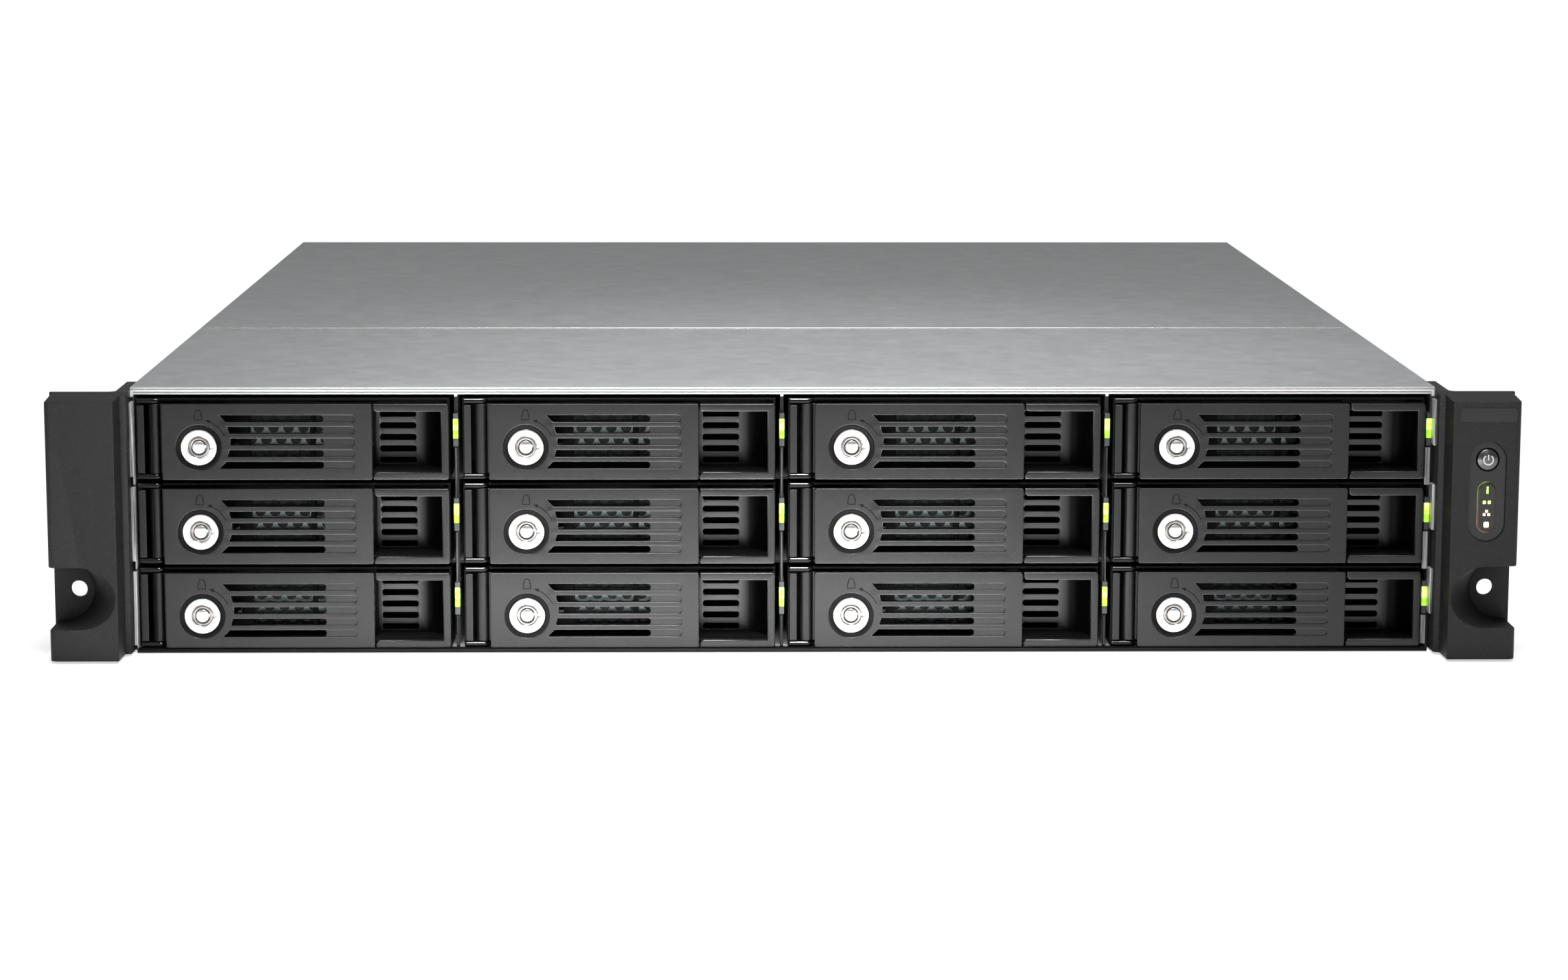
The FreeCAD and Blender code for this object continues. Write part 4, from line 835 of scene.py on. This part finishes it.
def make_recess():
    """Bowl of the finger recess, with air slots and a hollow round at the right, and its two walls."""
    right = PULL_RIGHT - PULL_BAR
    bend = right - RECESS_ROUND
    half = RECESS_SLOT_HEIGHT / 2
    ends = (RECESS_SLOT_LEFT, RECESS_SLOT_RIGHT)
    levels = [RECESS_SLOT_LOW + index * RECESS_SLOT_PITCH for index in range(RECESS_SLOTS)]
    slots = [rounded_rectangle(ends, around(level, half), half * 0.98) for level in levels]
    floor_outline = rectangle((RECESS_LEFT, bend + 1.2 * MM), RECESS_SPAN)
    floor = plate([floor_outline, *slots], (RECESS_FLOOR, RECESS_FLOOR + RECESS_WALL), 0.15 * MM)
    inside = arc(bend, RECESS_FLOOR - RECESS_ROUND, RECESS_ROUND, 90, 0, 16)
    outside = arc(bend, RECESS_FLOOR - RECESS_ROUND, RECESS_ROUND + RECESS_WALL, 0, 90, 16)
    edge = [(right, PULL_DEPTH), (right + RECESS_WALL, PULL_DEPTH)]
    hollow = extruded([*inside, *edge, *outside], RECESS_SPAN)
    low, high = RECESS_SPAN
    walls = blocks(*[((RECESS_LEFT, right), (PULL_DEPTH, RECESS_FLOOR), z)
                     for z in ((low, low + RECESS_WALL), (high - RECESS_WALL, high))])
    return joined(floor, smooth(hollow)), walls


def make_slot_backing():
    """Dark sheet behind the air slots of the finger recess, with a rib along its middle; its black is painted
    shade of the deep slots.
    """
    middle = (RECESS_SLOT_LEFT + RECESS_SLOT_RIGHT) / 2
    width = (RECESS_SLOT_LEFT - 1 * MM, RECESS_SLOT_RIGHT + 0.4 * MM)
    sheet = (width, (RECESS_FLOOR + 1.1 * MM, BEZEL_REAR), RECESS_SPAN)
    rib = (off(middle, -0.6, 0.6), off(RECESS_FLOOR, 0.9, 1.2), RECESS_SPAN)
    return rounded(blocks(sheet, rib), 0.1 * MM)


def make_bezel():
    """Tray front behind the lever: thin top and bottom skins, side walls and a back with two windows."""
    left, right = TRAY_LOW.x, TRAY_HIGH.x
    low, high = TRAY_LOW.z, TRAY_HIGH.z
    depth = (BEZEL_FRONT, BEZEL_REAR)
    inside = (low + BEZEL_SKIN, high - BEZEL_SKIN)
    shell = blocks(
        ((left, right), depth, (low, inside[0])),
        ((left, right), depth, (inside[1], high)),
        ((left, left + CHEEK), depth, inside),
        ((right - BEZEL_SKIN, right), depth, inside))
    opening = (low + 4.5 * MM, high - 4.5 * MM)
    windows = [rounded_rectangle(off(left, *ends), opening, 1 * MM) for ends in BEZEL_WINDOWS]
    back_outline = rectangle((left + CHEEK, RECESS_LEFT), inside)
    back = plate([back_outline, *windows], (RECESS_FLOOR, BEZEL_REAR), 0.2 * MM)
    keeper = blocks((off(LOCK.x, -4, 4), off(0, 5.7, 8.7), (high - 8 * MM, inside[1])))
    return joined(rounded(shell, 0.25 * MM), back, rounded(keeper, 0.3 * MM))


def make_hinge_lugs():
    """Glossy lugs above and below the lever's knuckle, and the pin between them."""
    left = TRAY_LOW.x + 0.25 * MM
    outline = [(left, HINGE.y + KNUCKLE_RADIUS), (left, HINGE.y - KNUCKLE_RADIUS),
               *arc(HINGE.x, HINGE.y, KNUCKLE_RADIUS, -90, 90, 12)]
    lugs = [rounded(extruded(outline, span), 0.6 * MM, 5) for span in (LUG_LOW, LUG_HIGH)]
    pin = post(HINGE.x, HINGE.y, (LUG_LOW[1], LUG_HIGH[0]), PIN_RADIUS, 16)
    return joined(*lugs, pin)


def make_cheek():
    """Upright plate beside the hinge."""
    left = TRAY_LOW.x + 0.6 * MM
    return rounded(blocks((off(left, 0, 2.5), (1.6 * MM, BEZEL_FRONT + 0.2 * MM),
                           (TRAY_LOW.z + 2 * MM, TRAY_HIGH.z - 2.2 * MM))), 0.3 * MM, 3)


def make_grille():
    """Perforated sheet behind the lever's slots, its round holes in staggered rows."""
    left = TRAY_LOW.x + 3 * MM
    right = PANEL_RIGHT
    low = TRAY_LOW.z + 1.3 * MM
    high = TRAY_HIGH.z - 3 * MM
    lowest = LEVER_MID - 1.35 * MM - GRILLE_ROWS // 2 * GRILLE_ROW
    first = PANEL_LEFT + 2.7 * MM
    holes = []
    for row in range(GRILLE_ROWS):
        start = first + row % 2 * GRILLE_PITCH / 2
        count = int((right - start - GRILLE_HOLE) / GRILLE_PITCH) + 1
        level = lowest + row * GRILLE_ROW
        holes += [circle(start + i * GRILLE_PITCH, level, GRILLE_HOLE, 20) for i in range(count)]
    outline = rectangle((left, right), (low, high))
    return plate([outline, *holes], (BEZEL_REAR, BEZEL_REAR + GRILLE_THICK))


def make_sled():
    """Folded sheet carrier under and beside the drive."""
    left, right = TRAY_LOW.x, TRAY_HIGH.x
    low = TRAY_LOW.z
    side = 0.8 * MM
    floor = 0.45 * MM
    top = low + 21 * MM
    rear = TRAY_HIGH.y
    quarter = (rear - BEZEL_REAR) / 4
    rail = 13.6 * MM
    middle = (BEZEL_REAR + quarter, rear - quarter)
    sheet = (low, low + floor)
    between = (left + side, right - side)
    return rounded(blocks(
        ((left, left + side), (BEZEL_REAR, rear), (low, top)),
        ((right - side, right), (BEZEL_REAR, rear), (low, top)),
        (between, (BEZEL_REAR, middle[0]), sheet),
        (between, (middle[1], rear), sheet),
        ((left + side, left + rail), middle, sheet),
        ((right - rail, right - side), middle, sheet)), 0.1 * MM)


def make_drive():
    """Bare drive: a casting and its stepped lid."""
    middle = (TRAY_LOW.x + TRAY_HIGH.x) / 2
    left, right = around(middle, DRIVE_WIDTH / 2)
    low = TRAY_LOW.z + 0.5 * MM
    front = BEZEL_REAR + 0.65 * MM
    rear = front + DRIVE_LENGTH
    lid = low + DRIVE_HEIGHT - 6 * MM
    top = low + DRIVE_HEIGHT
    casting = rounded(blocks(((left, right), (front, rear), (low, lid))), 1.2 * MM, 3)
    rim = 2 * MM
    step = 9 * MM
    cover = rounded(blocks(
        ((left + rim, right - rim), (front + rim, rear - rim), (lid - 0.5 * MM, top - 0.6 * MM)),
        ((left + step, right - step), (front + step, rear - 30 * MM), (top - 1 * MM, top))), 0.5 * MM, 3)
    return casting, cover


def bay_shift(bay):
    """How far a bay lies from the first one."""
    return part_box(f"handle_{bay}")[0] - LEVER_LOW


def make_trays():
    casting, lid = make_drive()
    recess_bowl, recess_walls = make_recess()
    meshes = (
        ("lever", make_lever(), "lever", "handle"),
        # The signs are engraved lines, drawn as dark plates whose colour is painted shade.
        ("padlock_sign", make_padlock(), "shade", "handle"),
        ("arrow_sign", make_arrow(), "shade", "handle"),
        ("knuckle", make_knuckle(), "hinge", "handle"),
        ("lock_ring", make_ring(), "shade", "handle"),
        ("lock_face", make_lock(), "chrome", "lock"),
        ("keyway", make_keyway(), "shaded_steel", "lock"),
        ("lock_barrel", make_barrel(), "gloss", "lock"),
        ("pull_frame", make_pull_frame(), "lever", "tray"),
        ("recess_bowl", recess_bowl, "recess", "tray"),
        ("recess_walls", recess_walls, "shade", "tray"),
        ("slot_backing", make_slot_backing(), "slot_shade", "tray"),
        ("bezel", make_bezel(), "shade", "tray"),
        ("hinge_lugs", make_hinge_lugs(), "lug", "tray"),
        ("hinge_cheek", make_cheek(), "hinge", "tray"),
        ("grille", make_grille(), "grille", "tray"),
        ("sled", make_sled(), "sheet", "tray"),
        ("drive", casting, "void", "tray"),
        ("drive_lid", lid, "drive", "tray"))
    kinds = {"handle": ("lever", "lever"), "lock": ("lock_face", "lock_chrome"), "tray": ("bezel", "tray")}
    for bay in BAYS:
        shift = bay_shift(bay)
        for name, mesh, material, kind in meshes:
            main, slot = kinds[kind]
            node = f"{kind}_{bay}"
            stands_for = (node,) if name == main else ()
            piece(f"{name}_{bay}", mesh, material, node, stands_for, shift)


# Light pipes

PIPE_PARTS = (0, 0.24, 0.49, 0.84, 1)
PIPE_OFFSET = 2.05 * MM


def make_light_pipes():
    """A dark holder beside each tray, with a bright upper and a greener lower window in its front."""
    low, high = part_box("light_pipes")
    first_low, first_high = off(LEVER_LOW.z, 10.9, 21.7)
    width = 1.7 * MM
    face = low.y + 0.8 * MM
    parts = {"holder": [], "lit": [], "dim": []}
    for bay in BAYS:
        shift = bay_shift(bay).z
        last_column = bay.endswith("c4")
        centre = high.x - width / 2 if last_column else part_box(f"tray_{bay}")[1].x + PIPE_OFFSET
        x = around(centre, width / 2)
        levels = [first_low + shift + part * (first_high - first_low) for part in PIPE_PARTS]
        depth = (low.y + 0.25 * MM, high.y)
        parts["holder"].append(rounded(blocks(
            (x, depth, levels[:2]), (x, (face, high.y), levels[1:4:2]), (x, depth, levels[3:])), 0.15 * MM))
        for kind, window in (("dim", levels[1:3]), ("lit", levels[2:4])):
            parts[kind].append(rounded(blocks((x, (low.y, face), window)), 0.2 * MM))
    piece("pipe_holders", joined(*parts["holder"]), "holder", "chassis", ("light_pipes",))
    piece("pipe_windows", joined(*parts["lit"]), "lit", "chassis")
    piece("pipe_windows_dim", joined(*parts["dim"]), "dim", "chassis")


# Bare sheet edges at the walls and dividers

ROWS = sorted({bay[:2] for bay in BAYS})
DIVIDER_LINE = 0.6 * MM
CASE_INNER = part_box("light_pipes")[1].x


def make_divider_edges():
    """Cut edge of each divider, bare between one light pipe and the next."""
    edges = []
    for row in ROWS:
        top = LEVER_LOW.z + bay_shift(f"{row}c1").z + 10.5 * MM
        bottom = max(top - 17.0 * MM, TRAY_LOW.z + 0.4 * MM)
        for column in (1, 2, 3):
            x = around(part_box(f"tray_{row}c{column}")[1].x + PIPE_OFFSET, DIVIDER_LINE / 2)
            edges.append(rounded(blocks((x, off(0, 1.6, 3.7), (bottom, top))), 0.2 * MM))
    piece("divider_edges", joined(*edges), "divider", "chassis")


def make_sill():
    """Black strip over the front edge of the base sheet under the trays, in painted shade."""
    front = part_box("chassis_base")[0].y - 0.15 * MM
    sill = blocks(((-CASE_INNER, CASE_INNER), (front, BEZEL_FRONT), (0.05 * MM, TRAY_LOW.z - 0.1 * MM)))
    # Painted shade along the bottom of the front, under the lowest trays.
    piece("base_sill", rounded(sill, 0.2 * MM, 3), "shade", "chassis")


def make_wall_edges():
    """Folded front edges of the side walls, which step in and out at each row."""
    parts = {"trim": [], "satin": []}
    for row in ROWS:
        base = TRAY_LOW.z + bay_shift(f"{row}c1").z
        step_low = max(base - 1.6 * MM, TRAY_LOW.z)
        plate_low = max(base - 2.2 * MM, TRAY_LOW.z + 0.6 * MM)
        plate_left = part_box(f"tray_{row}c4")[1].x + 0.15 * MM
        parts["trim"] += [
            (off(-CASE_INNER, -1.05, 0.25), off(0, -1.0, 3.2), off(base, 1.2, 26.0)),
            (off(-CASE_INNER, -1.9, -1.1), off(0, -2.7, -2.1), off(base, 2.0, 14.0)),
            (off(-CASE_INNER, -0.3, 0.3), off(0, -0.2, 3.0), (step_low, base + 1.8 * MM)),
            (off(CASE_INNER, 0.1, 1.2), off(0, -2.5, 3.2), off(base, 11.6, 26.8))]
        parts["satin"].append(((plate_left, CASE_INNER), off(0, 1.7, 3.0), (plate_low, base + 10.6 * MM)))
    for name, material in (("wall_edges", "trim"), ("wall_plates", "satin")):
        meshes = [rounded(blocks(span), 0.3 * MM, 3) for span in parts[material]]
        piece(name, joined(*meshes), material, "chassis")


# Front ears

EAR_CORNER = 2.0 * MM
EAR_STEP = 5.0 * MM
EAR_INNER = 2.4 * MM
SCOOP_RADIUS = 10.25 * MM
SCOOP_Z = 21.25 * MM
SCOOP_TURN = 30.0
PANEL_X = 229.1 * MM
PANEL_SPAN = off(0, 39.7, 72.8)
PANEL_RADIUS = 6.1 * MM
PANEL_RECESS = 1.0 * MM
BUTTON_RADIUS = 3.6 * MM
BUTTON_WELL = 3.9 * MM
BADGE_X = off(0, 219.6, 238.2)
BADGE_Z = off(0, 79.2, 83.9)


def pill(x, z, radius):
    return [*arc(x, z[1] - radius, radius, 0, 180, 16), *arc(x, z[0] + radius, radius, 180, 360, 16)]


def make_scoop():
    """Half-round channel cut from the outer side of an ear."""
    run = 60 * MM
    outline = [*arc(0, 0, SCOOP_RADIUS, 90, 270, 32), (run, -SCOOP_RADIUS), (run, SCOOP_RADIUS)]
    mesh = plate([outline], (-run, run))
    rack_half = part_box("rack_brackets")[1].x
    turn = Matrix.Rotation(math.radians(-SCOOP_TURN), 4, "Z")
    mesh.transform(Matrix.Translation((rack_half, 0, SCOOP_Z)) @ turn)
    return mesh


def make_ear_block():
    """Right ear: an upright block with a step at its inner side, a sloping top and the scoop."""
    low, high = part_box("left_ear")
    outside, inside = -low.x, -high.x
    front, back = low.y, high.y
    side = inside + EAR_INNER
    outline = [(inside, back), (outside, back),
               *arc(outside - EAR_CORNER, front + EAR_CORNER, EAR_CORNER, 0, -90, 8),
               (side, front), (side - 0.4 * MM, back - EAR_STEP), (inside, back - EAR_STEP + 1.2 * MM)]
    block = extruded(outline, (low.z, high.z))
    slope = blocks(((inside - 1 * MM, outside + 1 * MM), off(0, -20, 20), off(0, 0, 10)))
    lean = math.atan2(1.2 * MM, back - front)
    slope.transform(Matrix.Translation((0, back, high.z)) @ Matrix.Rotation(lean, 4, "X"))
    return carved(block, slope, make_scoop())


def mirrored(mesh):
    copy = mesh.copy()
    copy.transform(Matrix.Diagonal((-1, 1, 1, 1)))
    copy.flip_normals()
    return copy


def make_ears():
    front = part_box("left_ear")[0].y
    eased = rounded(make_ear_block(), 0.7 * MM, 3, 50)
    piece("left_ear_shell", mirrored(eased), "ear", "chassis", ("left_ear",))
    ahead, bottom = off(front, -2, 6.2)
    recess = plate([pill(PANEL_X, PANEL_SPAN, PANEL_RADIUS)], (ahead, front + PANEL_RECESS))
    button_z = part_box("power_button")[0].z + BUTTON_RADIUS
    well = lathe([(0, ahead), (BUTTON_WELL, ahead), (BUTTON_WELL, bottom), (0, bottom)], PANEL_X, button_z)
    shell = smooth(carved(eased, recess, well))
    piece("right_ear_shell", shell, "ear", "chassis", ("right_ear",))
    margin = 0.15 * MM
    low, high = PANEL_SPAN
    floor = plate([pill(PANEL_X, (low + margin, high - margin), PANEL_RADIUS - margin),
                   circle(PANEL_X, button_z, BUTTON_WELL)],
                  off(front + PANEL_RECESS, -0.2, 0.05), 0.05 * MM)
    piece("control_panel", floor, "bezel", "chassis")
    badge = plate([rounded_rectangle(BADGE_X, BADGE_Z, 0.7 * MM)], off(front, -0.15, 0.2), 0.1 * MM)
    piece("blank_plate", badge, "badge", "chassis")
    make_button()
    make_status_lens()


def make_button():
    """Domed power button with its ring and bar sign."""
    low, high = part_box("power_button")
    centre = (low + high) / 2
    radius = (high.x - low.x) / 2
    steps = ((0, 0), (0.4, 0.06), (0.66, 0.3), (0.8, 0.75), (0.86, 0.8), (0.97, 1.1), (1, 1.5))
    profile = [(radius * share, low.y + depth * MM) for share, depth in steps]
    profile += [(radius, high.y), (0, high.y)]
    dome = smooth(lathe(profile, centre.x, centre.z))
    piece("power_button_dome", dome, "button", "button", ("power_button",))
    sign = [band(arc(centre.x, centre.z, 1.55 * MM, 125, 415, 28), 0.42 * MM),
            band([(centre.x, level) for level in off(centre.z, -0.1, 1.75)], 0.42 * MM)]
    meshes = [plate([outline], off(low.y, -0.05, 0.35)) for outline in sign]
    piece("power_sign", joined(*meshes), "white", "button")


def make_status_lens():
    """Smoked lens with four small lit signs."""
    low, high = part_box("status_lens")
    middle = (low.x + high.x) / 2
    radius = (high.x - low.x) / 2
    lens = plate([pill(middle, (low.z, high.z), radius)], (low.y, high.y), 0.25 * MM)
    piece("status_lens_cap", lens, "lens", "chassis", ("status_lens",))
    rings = [pill(middle, (low.z - gap, high.z + gap), radius + gap) for gap in off(0, 0.35, 0.02)]
    rim = plate(rings, off(high.y, -0.35, 0), 0.1 * MM)
    piece("status_rim", rim, "rim", "chassis")
    depth = off(low.y, -0.06, 0.1)
    top = high.z
    status = [band([(middle + 0.1 * MM, level) for level in off(top, -2.2, -3.7)], 0.7 * MM),
              circle(middle + 0.15 * MM, top - 1.7 * MM, 0.38 * MM, 12)]
    row = off(top, -7.1, -6.0)
    links = [rounded_rectangle(off(middle, *ends), row, 0.2 * MM, 3) for ends in ((-1.3, -0.3), (0.3, 1.3))]
    tree = [rounded_rectangle(off(middle + x * MM, -0.45, 0.45), off(top - z * MM, -0.45, 0.45), 0.12 * MM, 3)
            for x, z in ((0, 9.5), (-0.75, 10.6), (0.75, 10.6))]
    disk = [rounded_rectangle(off(middle, -0.85, 0.85), off(top, -14.9, -13.0), 0.4 * MM, 5)]
    groups = (("status_signs", status + links, "green_icon"), ("activity_signs", tree + disk, "amber_icon"))
    for name, signs, material in groups:
        piece(name, joined(*[plate([outline], depth) for outline in signs]), material, "chassis")


# Covers, chassis and the rear

DRESSED = (
    ("cover", 0.12, 2, "front_top_cover"),
    ("rear_cover", 0.12, 2, "rear_top_cover"),
    ("case", 0.1, 2, "chassis_base", "drive_cage"),
    ("sheet", 0.1, 2, "rear_panel"),
    ("bracket", 0.5, 3, "rack_brackets"),
    ("chrome", 0.4, 3, "cover_screws"),
    ("sheet", 0.3, 2, "power_supply_1", "power_supply_2"),
    ("latch", 0.4, 3, "supply_latch_1", "supply_latch_2"),
    ("steel", 0.2, 2, "io_connectors"),
    ("board", 0.1, 2, "motherboard", "backplane"),
    ("aluminium", 0.2, 2, "cpu_heatsink"),
    ("fan", 0.3, 2, "fan_frames", "fan_rotor_1", "fan_rotor_2", "fan_rotor_3"))


def make_case():
    """Finishes of the nodes that keep their own shapes, with edges eased by some millimetres."""
    for material, edge, segments, *nodes in DRESSED:
        for node in nodes:
            dress(node, material, edge * MM, segments)


INLET_OFFSET = 6.0 * MM
INLET_WIDTH = 23.0 * MM
INLET_HEIGHT = 15.5 * MM
INLET_DEPTH = 14.0 * MM
INLET_BLADES = ((-4.0, -1.6), (0.0, 2.2), (4.0, -1.6))


def make_inlets():
    """Black liner in the socket of each power supply, with three blades."""
    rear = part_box("rear_panel")[1].y
    floor = rear - INLET_DEPTH + 0.1 * MM
    for number in (1, 2):
        low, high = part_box(f"power_supply_{number}")
        x = low.x + INLET_OFFSET + INLET_WIDTH / 2
        z = (low.z + high.z) / 2
        outlines = []
        for margin in off(0, 0.1, 1.3):
            width = around(x, INLET_WIDTH / 2 - margin)
            outlines.append(rounded_rectangle(width, around(z, INLET_HEIGHT / 2 - margin), 1.5 * MM))
        liner = joined(plate(outlines, (floor, rear - 0.2 * MM), 0.3 * MM),
                       plate(outlines[:1], (floor, floor + 1 * MM), 0.1 * MM))
        body = f"supply_{number}"
        piece(f"inlet_liner_{number}", liner, "fan", body)
        blades = blocks(*[(off(x, side - 1, side + 1), (floor + 0.5 * MM, rear - 3 * MM),
                           off(z, up - 2, up + 2)) for side, up in INLET_BLADES])
        piece(f"inlet_blades_{number}", rounded(blades, 0.4 * MM, 3), "steel", body)


def make_cover_hem():
    """Rolled front edge of the rear cover, which catches the light along the seam."""
    low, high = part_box("rear_top_cover")
    margin = 2.2 * MM
    outline = rectangle((low.x + margin, high.x - margin), off(low.y, 0.1, 1.0))
    hem = rounded(extruded(outline, off(high.z, -0.4, 0.3)), 0.15 * MM)
    piece("rear_cover_hem", hem, "steel", "rear_cover")


# Stage, light and camera

CAMERA_PLACE = (-0.02021, -1.23035, 0.24908)
CAMERA_YAW = 0.0164
CAMERA_PITCH = 0.1571
CAMERA_ROLL = 0.0017
PHOTO_WIDTH = 2420
PHOTO_FOCAL = 5825.1
SENSOR = 36.0


def make_camera():
    data = bpy.data.cameras.new("camera")
    data.sensor_width = SENSOR
    data.lens = PHOTO_FOCAL / PHOTO_WIDTH * SENSOR
    data.clip_start = 0.05
    data.clip_end = 50
    camera = placed("camera", data)
    pan = Matrix.Rotation(-CAMERA_YAW, 4, "Z")
    tilt = Matrix.Rotation(math.pi / 2 - CAMERA_PITCH, 4, "X")
    roll = Matrix.Rotation(CAMERA_ROLL, 4, "Z")
    camera.matrix_world = Matrix.Translation(CAMERA_PLACE) @ pan @ tilt @ roll
    bpy.context.scene.camera = camera


def aimed(name, data, place, target):
    """A light at a place, turned to a target."""
    lamp = placed(name, data)
    lamp.location = place
    lamp.rotation_mode = "QUATERNION"
    lamp.rotation_quaternion = (Vector(target) - Vector(place)).to_track_quat("-Z", "Y")


def add_lamp(name, place, target, size, power):
    data = bpy.data.lights.new(name, "AREA")
    data.shape = "RECTANGLE"
    data.size, data.size_y = size
    data.energy = power
    aimed(name, data, place, target)


def add_spot(name, place, target, angle, power):
    data = bpy.data.lights.new(name, "SPOT")
    data.spot_size = math.radians(angle)
    data.spot_blend = 1.0
    data.shadow_soft_size = 0.08
    data.energy = power
    aimed(name, data, place, target)


WORLD_STRENGTH = 0.3
FLOOR_SPAN = (-12, 12)
FLOOR_LEVELS = (-0.02, -0.0004)
FLOOR_WHITES = ((0.86, 0.86, 0.86), (0.88, 0.88, 0.88))
FLOOR_GLOW = (0.6, 0.76)
FLOOR_MIDDLE = 0.25
FLOOR_REACH = (0.3, 1.0)


def make_stage():
    """White floor and surroundings, with one soft box above the front and a weaker one before it.

    The dark front mirrors the floor, which the spots light most brightly close to the object's middle."""
    world = bpy.data.worlds.new("studio")
    bpy.context.scene.world = world
    world.use_nodes = True
    tree = world.node_tree
    background = tree.nodes["Background"]
    background.inputs["Color"].default_value = (1, 1, 1, 1)
    seen = add_node(tree, "ShaderNodeLightPath").outputs["Is Camera Ray"]
    strength = add_node(tree, "ShaderNodeMapRange", Value=seen, To_Min=WORLD_STRENGTH, To_Max=1.0)
    tree.links.new(strength.outputs["Result"], background.inputs["Strength"])

    first, second = FLOOR_WHITES
    surface = Surface("floor_white", first, roughness=0.9, Specular_IOR_Level=0.1, Emission_Color=(1, 1, 1))
    surface.tint(surface.noise(3.0, 2.0), first, second)
    away = surface.math("ABSOLUTE", surface.math("SUBTRACT", surface.along("Y"), FLOOR_MIDDLE))
    rays = surface.add("ShaderNodeLightPath")
    seen = surface.math("MAXIMUM", rays.outputs["Is Camera Ray"], rays.outputs["Is Glossy Ray"])
    glow = surface.math("MULTIPLY", seen, surface.ramp(away, *FLOOR_GLOW, *FLOOR_REACH))
    surface.link(glow, "Emission Strength")
    floor = placed("floor", blocks((FLOOR_SPAN, FLOOR_SPAN, FLOOR_LEVELS)))
    floor.data.materials.append(surface.material)

    add_lamp("key", (0.03, -0.27, 0.74), (0.03, 0.08, 0.05), (0.5, 0.35), 5.4)
    add_spot("cover", (0.02, -0.12, 0.95), (0.02, 0.07, 0.09), 32, 20)
    add_lamp("front", (0.1, -2.4, 0.7), (0, 0, 0.05), (2.0, 0.8), 2)
    add_spot("pool", (-0.04, -0.4, 0.75), (-0.04, -0.25, 0), 40, 33)
    for number, x in ((1, -0.105), (2, 0.035)):
        add_spot(f"near_pool_{number}", (x, -0.3, 0.35), (x, -0.1, 0), 32, 39)


make_trays()
make_light_pipes()
make_divider_edges()
make_sill()
make_wall_edges()
make_ears()
make_case()
make_inlets()
make_cover_hem()
make_camera()
make_stage()
bpy.context.scene.view_settings.view_transform = "Standard"
